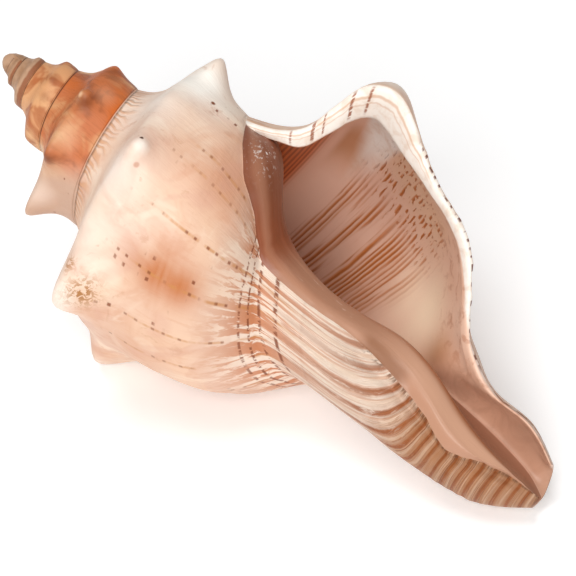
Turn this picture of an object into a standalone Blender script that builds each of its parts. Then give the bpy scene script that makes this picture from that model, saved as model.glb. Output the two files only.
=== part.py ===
"""A conch shell, grown as one piece.

A tall spire leads to a body whorl with knobs on its shoulder. The lip flares out round a wide
opening, and the base draws out into a long open canal beside the columella.

The skin is worked out on a growing spiral. A place on the outside is a growth, in turns from the
lip (so it is negative), and a station, from 0 at the suture above the whorl to 1 at the end of the
canal. Azimuths are degrees round the axis, and down is measured along the axis from the apex to
the canal. Everything is in metres, with +Z up, and the shell lies on the ground at z = 0, on two
of its knobs and the end of its canal.
"""

import bpy
import numpy as np

# Growth of the spiral
GROWTH = 1.86  # times larger after each turn
TURNS = 4.9  # from the apex to the lip
LIP_AZIMUTH = 24.0  # of the lip, where it meets the last turn
CANAL_END = 0.1525  # down the axis from the spiral's own centre
SUTURE = 0.54  # station where the next turn covers this one
SUTURE_RADIUS, SUTURE_DOWN = 0.0249, 0.0541  # at the lip

# Along the whorl: station, then radius and distance down the axis of a late whorl, of an early
# whorl and of the lip itself, all at the size of the last turn
WHORL = np.array([
    (0.00, SUTURE_RADIUS, SUTURE_DOWN, SUTURE_RADIUS, SUTURE_DOWN, SUTURE_RADIUS, SUTURE_DOWN),
    (0.05, 0.0276, 0.0589, 0.0268, 0.0595, 0.0275, 0.0602),
    (0.11, 0.0319, 0.0634, 0.0296, 0.0654, 0.0312, 0.0646),
    (0.19, 0.0389, 0.0672, 0.0344, 0.0714, 0.0388, 0.0670),
    (0.26, 0.0443, 0.0706, 0.0396, 0.0758, 0.0457, 0.0697),
    (0.31, 0.0460, 0.0744, 0.0432, 0.0796, 0.0481, 0.0736),
    (0.36, 0.0464, 0.0788, 0.0454, 0.0840, 0.0485, 0.0778),
    (0.45, 0.0465, 0.0895, 0.0468, 0.0920, 0.0444, 0.0865),
    (SUTURE, GROWTH * SUTURE_RADIUS, GROWTH * SUTURE_DOWN, GROWTH * SUTURE_RADIUS,
     GROWTH * SUTURE_DOWN, 0.0400, 0.0945),
    (0.61, 0.0432, 0.1090, 0.0432, 0.1090, 0.0376, 0.1012),
    (0.67, 0.0380, 0.1163, 0.0380, 0.1163, 0.0349, 0.1070),
    (0.73, 0.0295, 0.1228, 0.0295, 0.1228, 0.0305, 0.1118),
    (0.78, 0.0215, 0.1276, 0.0215, 0.1276, 0.0260, 0.1151),
    (0.82, 0.0155, 0.1320, 0.0155, 0.1320, 0.0220, 0.1177),
])
WHORL_STATION, LATE, EARLY, LIP = WHORL[:, 0], WHORL[:, 1:3], WHORL[:, 3:5], WHORL[:, 5:7]
EARLY_FROM, EARLY_OVER = -1.3, 1.7  # growth where the early shape starts, and turns of the change
FLARE_TURNS = 0.34  # before the lip, where its flare starts

# The neck under the whorl: station, share of the way down to the canal's end, and the lip there
NECK = np.array([
    (0.87, 0.32, 0.0168, 0.1229),
    (0.92, 0.60, 0.0128, 0.1310),
    (0.96, 0.82, 0.0118, 0.1414),
    (1.00, 1.00, 0.0067, 0.1500),
])
STATIONS = np.append(WHORL_STATION, NECK[:, 0])
# Distance down the axis and radius of the neck
NECK_SIZE = np.array([
    (0.060, 0.0095), (0.095, 0.0118), (0.105, 0.0112), (0.120, 0.0107), (0.130, 0.0103),
    (0.138, 0.0096), (0.143, 0.0087), (0.148, 0.0063), (0.150, 0.0050), (CANAL_END, 0.0032),
])
NECK_BLEND, NECK_FILL = 0.003, 0.00105  # how softly the base of the whorl runs into the neck
CANAL_SHIFT = np.array([0.0026, -0.0006])  # of the canal's end, off the axis
CANAL_SHIFT_FROM = 0.88

# The apex is blunt: its turns are wider and sit lower than the spiral says
APEX_WIDER, APEX_WIDER_FROM, APEX_WIDER_OVER = 0.0012, -2.0, 1.4
APEX_LOWER, APEX_LOWER_FROM, APEX_LOWER_OVER = 0.0012, -1.1, 1.0
APEX_TOP = 0.0013
# Rings over the apex: share of radius, share of height, and how evenly the points are spread
APEX_RINGS = ((0.90, 0.70, 0.15), (0.72, 0.40, 0.50), (0.45, 0.15, 0.85), (0.20, 0.03, 1.0))

# The belly of the last turn is slimmer, the more so underneath
BELLY_STATION, BELLY_WIDTH = 0.56, 0.11
BELLY_SLIM = 0.0018
UNDER_GROWTH, UNDER_WIDTH, UNDER_SLIM = -0.38, 0.13, 0.0026

# Knobs on the shoulder: azimuth, height at the size of the lip, half width in degrees, station
KNOB_STATION = 0.318
KNOBS = [
    (12, 0.0025, 14, KNOB_STATION),
    (-38, 0.0080, 13, KNOB_STATION),
    (-95, 0.0130, 14, KNOB_STATION),
    (-147, 0.0143, 14, 0.338),
    (-213, 0.0115, 13, 0.330),
    (-275, 0.0065, 12, KNOB_STATION),
    (-348, 0.0115, 12, 0.345),
    (-397, 0.0080, 12, KNOB_STATION),
    (-445, 0.0080, 12, KNOB_STATION),
    (-493, 0.0115, 13, KNOB_STATION),
    (-550, 0.0155, 14, KNOB_STATION),
    (-599, 0.0085, 11, KNOB_STATION),
    (-649, 0.0050, 11, KNOB_STATION),
    (-703, 0.0035, 12, KNOB_STATION),
]
SPIRE_KNOBS = range(-755, -1900, -51)
KNOBS += [(azimuth, 0.0025, 12, KNOB_STATION) for azimuth in SPIRE_KNOBS]
KNOB_ABOVE, KNOB_BELOW = 0.0714, 0.0833  # half heights, in stations
KNOB_POINT = 0.95  # 1 is round-topped, and less is more pointed
KNOB_LEAN = 0.08  # share of its height by which a knob leans up the spire

# The callus edge, where the inner lip lies on the neck: station and azimuth
CALLUS_EDGE = np.array([
    (SUTURE, 24), (0.55, 29), (0.56, 34), (0.58, 43), (0.61, 50), (0.64, 56), (0.67, 58),
    (0.70, 59), (0.73, 62), (0.755, 67), (0.78, 72), (0.82, 81), (0.845, 82), (0.87, 77),
    (0.895, 81), (0.92, 93), (0.94, 110), (0.96, 98), (0.98, 92), (1.0, 100),
])
GROOVE_DEPTH, GROOVE_AT, GROOVE_WIDTH, GROOVE_START = 0.0013, 11.0, 8.0, 6.0

# The rim, from the lip's outer edge to its inner edge: station, change of radius, change of
# distance down the axis, and degrees back into the opening
RIM = np.array([
    (0.00, -0.0008, 0.0037, 0.0), (0.05, -0.0020, 0.0017, 0.0), (0.11, -0.0039, 0.0020, 0.0),
    (0.19, -0.0056, 0.0026, 1.0), (0.26, -0.0074, 0.0026, 5.0), (0.31, -0.0082, 0.0014, 8.0),
    (0.36, -0.0082, 0.0008, 7.0), (0.45, -0.0054, 0.0009, 3.0), (0.54, -0.0030, 0.0006, 1.5),
    (0.61, -0.0026, 0.0000, 1.5), (0.67, -0.0026, -0.0009, 2.0), (0.73, -0.0020, -0.0016, 2.0),
    (0.78, -0.0015, -0.0016, 2.0), (0.82, -0.0012, -0.0015, 3.0), (0.87, -0.0014, -0.0009, 3.0),
    (0.92, -0.0014, -0.0004, 3.0), (0.96, -0.0011, -0.0002, 4.0), (1.00, -0.0008, -0.0001, 4.0),
])
RIM_SHARE = 0.22  # of the way back, at the rim's inner edge
# Share of the way back where the plain wall starts, at each station: the lip's knob is filled
WALL_SHARE = np.array([(0.00, 0.47), (0.24, 0.47), (0.33, 0.78), (0.40, 0.72), (0.50, 0.47)])
RIM_SWELL = 0.0007
LIP_LAG = 8.0  # degrees that the lip's edge runs behind its place at the suture
BACK_SPREAD = 1.25

# Thickness of the wall behind the rim: station and thickness
WALL = np.array([
    (0.00, 0.0040), (0.05, 0.0028), (0.25, 0.0022), (0.50, 0.0020), (0.66, 0.0026),
    (0.74, 0.0028), (0.82, 0.0020), (0.87, 0.0017), (0.92, 0.0020), (1.00, 0.0011),
])

# The deep line, where both sides of the opening turn into the throat
DEEP_AZIMUTH = -45.0
TROUGH = 0.92  # station from where the two sides meet in the floor of the canal
# The floor of the opening on the deep line: station, radius and distance down the axis
FLOOR = np.array([
    (0.74, 0.0240, 0.1040), (0.78, 0.0192, 0.1080), (0.82, 0.0146, 0.1112),
    (0.845, 0.0123, 0.1131), (0.87, 0.0106, 0.1150), (0.895, 0.0093, 0.1169),
    (TROUGH, 0.00833, 0.1188),
])

# The inner lip, across from the callus edge (0) to the deep line (1)
ACROSS = np.array([0, 0.10, 0.25, 0.45, 0.65, 0.83, 1.0])
SIDE = 0.65  # where its side faces the opening
LIP_FULLNESS = 0.0009
# Down the columella: station, then radius and distance down the axis of its side and deep line
COLUMELLA = np.array([
    (0.54, 0.0241, 0.0563, 0.0222, 0.0517), (0.58, 0.0240, 0.0586, 0.0214, 0.0530),
    (0.61, 0.0230, 0.0609, 0.0203, 0.0548), (0.67, 0.0199, 0.0642, 0.0174, 0.0579),
    (0.73, 0.0156, 0.0674, 0.0136, 0.0610), (0.78, 0.0116, 0.0712, 0.0102, 0.0646),
    (0.82, 0.0086, 0.0765, 0.0078, 0.0700), (0.845, 0.0065, 0.0880, 0.0063, 0.0820),
    (0.87, 0.0072, 0.0990, 0.0062, 0.0940),
])
# Its foot and the canal: points across each station, as right of, in front of and down the axis
CANAL_STATION = np.array([0.895, TROUGH, 0.94, 0.96, 0.98, 1.0])
CANAL = np.array([
    [(0.0020, 0.0116, 0.1120), (0.0039, 0.0110, 0.1115), (0.0069, 0.0092, 0.1105),
     (0.0092, 0.0062, 0.1095), (0.0093, 0.0022, 0.1085), (0.0070, -0.0030, 0.1080),
     (0.0049, -0.0049, 0.1080)],
    [(0.0001, 0.0111, 0.1220), (0.0020, 0.0116, 0.1215), (0.0049, 0.0108, 0.1210),
     (0.0077, 0.0086, 0.1200), (0.0082, 0.0046, 0.1190), (0.0066, -0.0017, 0.1185),
     (0.00595, -0.00583, 0.1188)],
    [(-0.0022, 0.0105, 0.1300), (-0.0006, 0.0113, 0.1300), (0.0020, 0.0104, 0.1295),
     (0.0046, 0.0086, 0.1295), (0.0049, 0.0048, 0.1290), (0.0046, -0.0020, 0.1290),
     (0.0064, -0.0055, 0.1290)],
    [(-0.0022, 0.0096, 0.1375), (-0.0010, 0.0103, 0.1375), (0.0010, 0.0098, 0.1375),
     (0.0030, 0.0085, 0.1375), (0.0030, 0.0048, 0.1375), (0.0032, -0.0016, 0.1370),
     (0.0063, -0.0050, 0.1370)],
    [(0.0016, 0.0076, 0.1455), (0.0018, 0.0077, 0.1455), (0.0020, 0.0075, 0.1455),
     (0.0022, 0.0068, 0.1455), (0.0023, 0.0034, 0.1452), (0.0030, -0.0010, 0.1450),
     (0.0052, -0.0039, 0.1450)],
    [(0.0016, 0.0024, 0.1514), (0.00165, 0.0023, 0.1513), (0.0017, 0.0021, 0.1512),
     (0.0018, 0.0015, 0.1510), (0.0022, 0.0002, 0.1509), (0.0028, -0.0013, 0.1509),
     (0.0039, -0.0022, 0.1511)],
])

# The throat follows the spiral in and ends blind
THROAT_DEGREES = 130.0

# How the shell lies: the azimuth of its underside, and degrees that its apex end is raised
UNDERSIDE_AZIMUTH = -127.3
REST_TILT = 21.54

# Faces: columns in a turn, then rows and columns of each stretch
COLUMNS = 42
WHORL_ROWS, BASE_ROWS, CANAL_ROWS = 12, 13, 7
SHEET_COLUMNS = 9
THROAT_COLUMNS = 7
SOFTENING_STEPS = 6

SHELL_COLOUR = (0.80, 0.62, 0.50, 1.0)
SHELL_ROUGHNESS = 0.40


def clear_scene():
    for item in list(bpy.data.objects):
        bpy.data.objects.remove(item)


def ramp(x):
    """0 up to 0, 1 from 1, and smooth between."""
    x = np.clip(x, 0, 1)
    return x * x * (3 - 2 * x)


def curve(x, knots, values):
    """The smooth curve through values at knots, read at x."""
    knots = np.asarray(knots, float)
    values = np.asarray(values, float)
    tail = (1,) * (values.ndim - 1)
    step = np.diff(knots).reshape((-1,) + tail)
    rise = np.diff(values, axis=0) / step
    slope = np.empty_like(values)
    slope[1:-1] = (rise[:-1] * step[1:] + rise[1:] * step[:-1]) / (step[1:] + step[:-1])
    slope[0] = 1.5 * rise[0] - 0.5 * slope[1]
    slope[-1] = 1.5 * rise[-1] - 0.5 * slope[-2]
    x = np.asarray(x, float)
    left = np.clip(np.searchsorted(knots, x, side="right") - 1, 0, len(knots) - 2)
    width = (knots[left + 1] - knots[left]).reshape(x.shape + tail)
    u = (x - knots[left]).reshape(x.shape + tail) / width
    ends = (2 * u**3 - 3 * u**2 + 1) * values[left] + (3 * u**2 - 2 * u**3) * values[left + 1]
    slopes = (u**3 - 2 * u**2 + u) * slope[left] + (u**3 - u**2) * slope[left + 1]
    return ends + width * slopes


def shares(x, knots):
    """How much of each knot's value the smooth curve takes at x."""
    return curve(x, knots, np.eye(len(knots)))


def neck_radius(down):
    return np.interp(down, NECK_SIZE[:, 0], NECK_SIZE[:, 1])


def whorl_outline(growth):
    """Radius and distance down the axis at every station, for each growth."""
    flare = ramp(growth / FLARE_TURNS + 1)[..., None, None]
    early = ramp((EARLY_FROM - growth) / EARLY_OVER)[..., None, None]
    grown = (LATE * (1 - early) + EARLY * early) * (1 - flare) + LIP * flare
    whorl = grown * GROWTH ** growth[..., None, None]
    # The base of the last turn runs softly into the neck
    neck = neck_radius(whorl[..., 1])
    wider = np.maximum(whorl[..., 0], neck)
    step = np.abs(whorl[..., 0] - neck)
    filled = wider + NECK_FILL * np.exp(-step / NECK_BLEND)
    base = (WHORL_STATION > SUTURE) & (growth > -1.001)[..., None]
    whorl[..., 0] = np.where(base, filled, whorl[..., 0])
    foot = whorl[..., -1:, 1]
    down = foot + (CANAL_END - foot) * NECK[:, 1]
    neck = np.stack([neck_radius(down), down], -1) * (1 - flare) + NECK[:, 2:] * flare
    return np.concatenate([whorl, neck], axis=-2)


def section(growth, station):
    """Radius and distance down the axis of the skin, before its knobs."""
    growth, station = np.broadcast_arrays(np.asarray(growth, float), np.asarray(station, float))
    found = np.einsum("...n,...nk->...k", shares(station, STATIONS), whorl_outline(growth))
    last_turn = ramp((growth + 1) / 0.5) * (1 - ramp((growth + 0.25) / 0.25))
    under = np.exp(-(((growth - UNDER_GROWTH) / UNDER_WIDTH) ** 2))
    belly = np.exp(-(((station - BELLY_STATION) / BELLY_WIDTH) ** 2))
    found[..., 0] -= belly * (BELLY_SLIM * last_turn + UNDER_SLIM * under)
    age = growth + np.minimum(station / SUTURE, 1)
    found[..., 0] += APEX_WIDER * (1 - ramp((age - APEX_WIDER_FROM) / APEX_WIDER_OVER))
    found[..., 1] += APEX_LOWER * (1 - ramp((age - APEX_LOWER_FROM) / APEX_LOWER_OVER))
    return found


def knob_height(growth, station, knobs):
    azimuth = LIP_AZIMUTH + 360 * growth
    height = 0
    for at, high, wide, middle in knobs:
        along = (azimuth - at) / wide
        across = station - middle
        across = across / np.where(across < 0, KNOB_ABOVE, KNOB_BELOW)
        size = high * GROWTH ** ((at - LIP_AZIMUTH) / 360)
        height = height + size * np.exp(-((along**2 + across**2) ** KNOB_POINT))
    return height


def lip_lag(growth, station):
    return LIP_LAG * ramp(station / 0.2) * ramp(growth / 0.15 + 1)


def place(azimuth, radius, down):
    """Points in the shell's own frame: right, front and down the axis."""
    angle = np.radians(azimuth)
    return np.stack([radius * np.cos(angle), radius * np.sin(angle), down + 0 * angle], -1)


def shifted(points, station):
    share = np.clip((station - CANAL_SHIFT_FROM) / (1 - CANAL_SHIFT_FROM), 0, 1) ** 2
    moved = points.copy()
    moved[..., :2] += share[..., None] * CANAL_SHIFT
    return moved


def callus_growth(station):
    azimuth = curve(station, CALLUS_EDGE[:, 0], CALLUS_EDGE[:, 1])
    return (azimuth - LIP_AZIMUTH) / 360 - 1


def outside(growth, station):
    growth, station = np.broadcast_arrays(np.asarray(growth, float), np.asarray(station, float))
    found = section(growth, station)
    # A groove runs along the callus edge
    past = 360 * (growth - callus_growth(np.maximum(station, SUTURE)))
    length = ramp((station - 0.83) / 0.05) * ramp((1 - station) / 0.03)
    groove = length * np.exp(-(((past - GROOVE_AT) / GROOVE_WIDTH) ** 2)) * ramp(past / GROOVE_START)
    found[..., 0] -= GROOVE_DEPTH * groove
    knob = knob_height(growth, station, KNOBS)
    azimuth = LIP_AZIMUTH + 360 * growth - lip_lag(growth, station)
    points = place(azimuth, found[..., 0] + knob, found[..., 1] - KNOB_LEAN * knob)
    return shifted(points, station)


def inward(growth, station):
    """The direction from the outside into the wall, in radius and distance down the axis."""
    reach = 0.01 + 0.06 * ramp(1 - np.abs(station - 0.3) / 0.25)
    ahead = section(growth, np.clip(station + reach, 0, 1))
    behind = section(growth, np.clip(station - reach, 0, 1))
    along = (ahead - behind) / np.linalg.norm(ahead - behind, axis=-1, keepdims=True)
    turned = np.stack([-along[..., 1], along[..., 0]], -1)
    share = ramp(station / 0.10)[..., None]
    return turned * share + np.array([0.02, 1.0]) * (1 - share)


def lip_side(station, back):
    """The lip's edge (back 0), over the rim and along the wall to the deep line (back 1)."""
    station, back = np.broadcast_arrays(np.asarray(station, float), np.asarray(back, float))
    rim = curve(station, RIM[:, 0], RIM[:, 1:])
    wall = curve(station, WALL[:, 0], WALL[:, 1])
    face = np.clip(back / RIM_SHARE, 0, 1)
    behind = np.clip((back - RIM_SHARE) / (1 - RIM_SHARE), 0, 1)
    rest = LIP_AZIMUTH - DEEP_AZIMUTH - rim[..., 2]
    growth = -(rim[..., 2] * face**1.5 + rest * behind**BACK_SPREAD) / 360
    plain = np.interp(station, WALL_SHARE[:, 0], WALL_SHARE[:, 1])
    to_wall = ramp((back - RIM_SHARE) / (plain - RIM_SHARE))[..., None]
    # Only the lip's own knob shows on the inside, and it fades out behind
    fade = 1 - 0.25 * face - 0.75 * ramp((back - 0.3) / 0.7)
    knob = knob_height(growth, station, KNOBS[:1]) * fade
    step = rim[..., :2] * face[..., None] * (1 - to_wall)
    step = step + inward(growth, station) * wall[..., None] * to_wall
    found = section(growth, station) + np.stack([knob, -KNOB_LEAN * knob], -1)
    found = found + step * GROWTH ** growth[..., None]
    azimuth = LIP_AZIMUTH + 360 * growth - lip_lag(growth, station)
    points = shifted(place(azimuth, found[..., 0], found[..., 1]), station)
    # The face of the rim swells forward
    swell = RIM_SWELL * np.sin(np.pi * face**0.7) * (back < RIM_SHARE)
    facing = np.radians(LIP_AZIMUTH - lip_lag(0 * station, station))
    return points + swell[..., None] * np.stack([-np.sin(facing), np.cos(facing), 0 * facing], -1)


def columella_row(station, side_radius, side_down, deep_radius, deep_down):
    """Points across the columella at one station, on a curve through its edge, side and deep line."""
    edge = section(callus_growth(station), station)
    edge_azimuth = np.interp(station, CALLUS_EDGE[:, 0], CALLUS_EDGE[:, 1])
    ends = np.array([edge, (side_radius, side_down), (deep_radius, deep_down)])
    shape = np.stack([
        (ACROSS - SIDE) * (ACROSS - 1) / SIDE,
        ACROSS * (ACROSS - 1) / (SIDE * (SIDE - 1)),
        ACROSS * (ACROSS - SIDE) / (1 - SIDE),
    ], -1) @ ends
    full = np.interp(ACROSS, (0, 0.10, 0.45, SIDE), (0, 1, 0.6, 0))
    shape[:, 0] += LIP_FULLNESS * full * ramp((station - 0.57) / 0.09)
    azimuth = edge_azimuth + (DEEP_AZIMUTH - edge_azimuth) * ACROSS**1.15
    return place(azimuth, shape[:, 0], shape[:, 1])


INNER_STATION = np.append(COLUMELLA[:, 0], CANAL_STATION)
INNER_NET = np.concatenate([[columella_row(*row) for row in COLUMELLA], CANAL])


def inner_side(station, across):
    """The inner lip, from the callus edge (across 0) to the deep line (across 1)."""
    station, across = np.broadcast_arrays(np.asarray(station, float), np.asarray(across, float))
    down_net = shares(station, INNER_STATION)
    points = np.einsum("...i,...j,ijk->...k", down_net, shares(across, ACROSS), INNER_NET)
    edge_gap = outside(callus_growth(station), station)
    edge_gap = edge_gap - np.einsum("...i,ik->...k", down_net, INNER_NET[:, 0])
    points = points + edge_gap * (1 - ramp(across / 0.2))[..., None]
    # Its top row is also that of the lip's side
    top = (1 - ramp((station - SUTURE) / 0.05))[..., None]
    return points * (1 - top) + lip_side(0 * station, across) * top


def lip_wall(station, back):
    """The lip's side, drawn in at the base so that it meets the inner lip in the canal's floor."""
    points = lip_side(station, back)
    radius = np.interp(station, FLOOR[:, 0], FLOOR[:, 1])
    down = np.interp(station, FLOOR[:, 0], FLOOR[:, 2])
    floor = place(DEEP_AZIMUTH + ramp((station - 0.78) / 0.14), radius, down)
    trough = inner_side(np.maximum(station, TROUGH), np.ones_like(station))
    deep = np.where((station >= TROUGH)[..., None], trough, floor)
    share = (ramp((station - 0.74) / 0.08) * ramp(back))[..., None]
    return points + (deep - lip_side(station, np.ones_like(station))) * share


class Skin:
    """The points and faces of the closed skin, added patch by patch."""

    def __init__(self):
        self.points = np.empty((0, 3))
        self.softness = np.empty(0)
        self.faces = []

    def add(self, points, softness=0.0):
        """Adds a grid of points and gives back their numbers as the same grid."""
        shape = points.shape[:-1]
        first = len(self.points)
        self.points = np.vstack([self.points, points.reshape(-1, 3)])
        self.softness = np.append(self.softness, np.broadcast_to(softness, shape).ravel())
        return np.arange(first, len(self.points)).reshape(shape)

    def cover(self, grid, turned=False):
        """Covers a grid of point numbers with four-cornered faces."""
        corners = np.stack([grid[:-1, :-1], grid[1:, :-1], grid[1:, 1:], grid[:-1, 1:]], -1)
        corners = corners.reshape(-1, 4)
        self.faces += (corners[:, ::-1] if turned else corners).tolist()

    def fan(self, ring, middle):
        """Closes a ring of points with triangles to one point in its middle."""
        for one, other in zip(ring, np.roll(ring, -1)):
            self.faces.append([int(other), int(one), int(middle)])

    def stitch(self, outer, inner):
        """Joins two lines of points that start and end at the same points."""
        outer_way, inner_way = self.way_along(outer), self.way_along(inner)
        i = j = 0
        while i < len(outer) - 1 or j < len(inner) - 1:
            outer_next = j == len(inner) - 1
            if i < len(outer) - 1 and not outer_next:
                outer_next = outer_way[i + 1] <= inner_way[j + 1]
            if outer_next:
                face = [outer[i], outer[i + 1], inner[j]]
                i += 1
            else:
                face = [outer[i], inner[j + 1], inner[j]]
                j += 1
            if len(set(map(int, face))) == 3:
                self.faces.append([int(number) for number in face])

    def way_along(self, line):
        steps = np.linalg.norm(np.diff(self.points[line], axis=0), axis=1)
        way = np.concatenate([[0], np.cumsum(steps)])
        return way / way[-1]


def even_stations(start, end, rows, growth):
    """Stations that are evenly spaced on the skin at one growth."""
    fine = np.linspace(start, end, 400)
    outline = section(np.full(fine.shape, growth), fine)
    steps = np.linalg.norm(np.diff(outline, axis=0), axis=1)
    way = np.concatenate([[0], np.cumsum(steps)])
    return np.interp(np.linspace(0, way[-1], rows + 1), way, fine)


def add_outside(skin, stations):
    """The outside: the long spiral down to the suture, and the base of the last turn under it."""
    columns = round(TURNS * COLUMNS)
    growth = np.arange(-columns, 1) / COLUMNS
    spiral = np.empty((columns + 1, WHORL_ROWS + 1), int)
    above = np.meshgrid(growth, stations[:WHORL_ROWS], indexing="ij")
    spiral[:, :WHORL_ROWS] = skin.add(outside(*above))
    # The lowest row of an early turn is the suture of the turn after it
    covered = columns - COLUMNS
    spiral[: covered + 1, WHORL_ROWS] = spiral[COLUMNS:, 0]
    spiral[covered + 1 :, WHORL_ROWS] = skin.add(outside(growth[covered + 1 :], SUTURE))
    skin.cover(spiral)
    base = np.empty((COLUMNS + 1, len(stations) - WHORL_ROWS), int)
    base[:, 0] = spiral[covered:, WHORL_ROWS]
    share, below = np.meshgrid(
        np.linspace(0, 1, COLUMNS + 1), stations[WHORL_ROWS + 1 :], indexing="ij"
    )
    base[:, 1:] = skin.add(outside(callus_growth(below) * (1 - share), below))
    skin.cover(base)
    return spiral, base


def add_opening(skin, stations, spiral, base):
    """The inside of the lip and of the columella, which share the top row and the canal's floor."""
    across = np.linspace(0, 1, SHEET_COLUMNS + 1)
    trough_row = WHORL_ROWS + BASE_ROWS
    lip = np.empty((len(stations), SHEET_COLUMNS + 1), int)
    lip[:, 0] = np.concatenate([spiral[-1, :WHORL_ROWS], base[-1]])
    rows, back = np.meshgrid(stations, across[1:], indexing="ij")
    lip[:, 1:] = skin.add(lip_wall(rows, back), ramp((back - 0.3) / 0.3))
    skin.cover(lip, turned=True)
    inner = np.empty((len(stations) - WHORL_ROWS, SHEET_COLUMNS + 1), int)
    inner[:, 0] = base[0]
    inner[0] = lip[0]
    rows, over = np.meshgrid(stations[WHORL_ROWS + 1 :], across[1:-1], indexing="ij")
    inner[1:, 1:-1] = skin.add(inner_side(rows, over), ramp((over - 0.3) / 0.4))
    deep = stations[WHORL_ROWS + 1 : trough_row]
    inner[1:BASE_ROWS, -1] = skin.add(inner_side(deep, np.ones_like(deep)), 1.0)
    inner[BASE_ROWS:, -1] = lip[trough_row:, -1]
    skin.cover(inner)
    skin.stitch(base[:, -1], np.concatenate([inner[-1], lip[-1, -2::-1]]))
    return np.concatenate([lip[: trough_row + 1, -1], inner[1:BASE_ROWS, -1][::-1]])


def add_throat(skin, ring):
    """The throat shrinks as it follows the spiral, and ends blind."""
    start = skin.points[ring]
    azimuth = np.degrees(np.arctan2(start[:, 1], start[:, 0]))
    radius = np.hypot(start[:, 0], start[:, 1])
    rings = [ring]
    for column in range(1, THROAT_COLUMNS + 1):
        degrees = THROAT_DEGREES * column / THROAT_COLUMNS
        size = GROWTH ** (-degrees / 360)
        last = column == THROAT_COLUMNS
        turned = place(azimuth - degrees, radius * size, start[:, 2] * size)
        rings.append(skin.add(turned, 0.0 if last else 1.0))
    grid = np.array(rings).T
    skin.cover(np.vstack([grid, grid[:1]]), turned=True)
    skin.fan(rings[-1], skin.add(skin.points[rings[-1]].mean(axis=0)))


def add_apex(skin, spiral):
    """The blunt apex, whose first step is spread evenly round."""
    ring = np.concatenate([spiral[:COLUMNS, 0], spiral[0, WHORL_ROWS:0:-1]])
    start = skin.points[ring]
    radius = np.hypot(start[:, 0], start[:, 1])
    first = LIP_AZIMUTH - 360 * round(TURNS * COLUMNS) / COLUMNS
    stepped = first + 360 * np.minimum(np.arange(len(ring)) / COLUMNS, 1)
    spread = first + 360 * np.arange(len(ring)) / len(ring)
    rings = [ring]
    for share, height, even in APEX_RINGS:
        azimuth = stepped * (1 - even) + spread * even
        wide = share * (radius * (1 - even) + radius.mean() * even)
        down = start[:, 2] * (1 - even) + start[:, 2].mean() * even
        rings.append(skin.add(place(azimuth, wide, APEX_TOP + height * (down - APEX_TOP))))
    grid = np.array(rings).T
    skin.cover(np.vstack([grid, grid[:1]]), turned=True)
    skin.fan(rings[-1], skin.add(np.array([0.0, 0.0, APEX_TOP])))


def shell_skin():
    whorl = even_stations(0, SUTURE, WHORL_ROWS, -0.36)
    base = even_stations(SUTURE, TROUGH, BASE_ROWS, -0.7)
    canal = even_stations(TROUGH, 1, CANAL_ROWS, -0.7)
    stations = np.concatenate([whorl, base[1:], canal[1:]])
    skin = Skin()
    spiral, outer_base = add_outside(skin, stations)
    ring = add_opening(skin, stations, spiral, outer_base)
    add_throat(skin, ring)
    add_apex(skin, spiral)
    return skin


def resting_turn():
    """The turn from the shell's own frame to the ground's: canal to +X, opening up and to -Y."""
    azimuth, tilt = np.radians([UNDERSIDE_AZIMUTH, REST_TILT])
    level = np.array([np.cos(azimuth), np.sin(azimuth), 0.0]) * np.cos(tilt)
    up = -(level + np.array([0.0, 0.0, np.sin(tilt)]))
    along = np.array([0.0, 0.0, 1.0]) - up * up[2]
    along = along / np.linalg.norm(along)
    return np.array([along, np.cross(up, along), up])


def at_rest(points):
    """The points as the shell lies on the ground, over the middle of its own outline."""
    turned = points @ resting_turn().T
    low, high = turned.min(axis=0), turned.max(axis=0)
    return turned - np.array([(low[0] + high[0]) / 2, (low[1] + high[1]) / 2, low[2]])


def shell_material():
    material = bpy.data.materials.new("shell")
    material.use_nodes = True
    shader = material.node_tree.nodes["Principled BSDF"]
    shader.inputs["Base Color"].default_value = SHELL_COLOUR
    shader.inputs["Roughness"].default_value = SHELL_ROUGHNESS
    shader.inputs["Metallic"].default_value = 0.0
    return material


def build_shell():
    skin = shell_skin()
    mesh = bpy.data.meshes.new("shell")
    mesh.from_pydata(at_rest(skin.points).tolist(), [], skin.faces)
    mesh.materials.append(shell_material())
    mesh.shade_smooth()
    shell = bpy.data.objects.new("shell", mesh)
    bpy.context.collection.objects.link(shell)
    # The inside of the opening and the throat are softened where their patches meet
    inside = shell.vertex_groups.new(name="inside")
    for number in np.flatnonzero(skin.softness):
        inside.add([int(number)], float(skin.softness[number]), "REPLACE")
    soften = shell.modifiers.new("Soften inside", "SMOOTH")
    soften.vertex_group = inside.name
    soften.factor = 0.6
    soften.iterations = SOFTENING_STEPS
    return shell


clear_scene()
build_shell()
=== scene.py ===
"""The conch shell as it lies in the photograph, on a plain pale floor.

The skin is worked out as in the part: a place on the outside is a growth, in turns from the lip
(so it is negative), and a station, from 0 at the suture above the whorl to 1 at the end of the
canal. Here it is finer, it has its growth ridges, and it carries the marks that its paint reads.
Everything is in metres.
"""

import bpy
import numpy as np
from mathutils import Matrix, Vector


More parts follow.
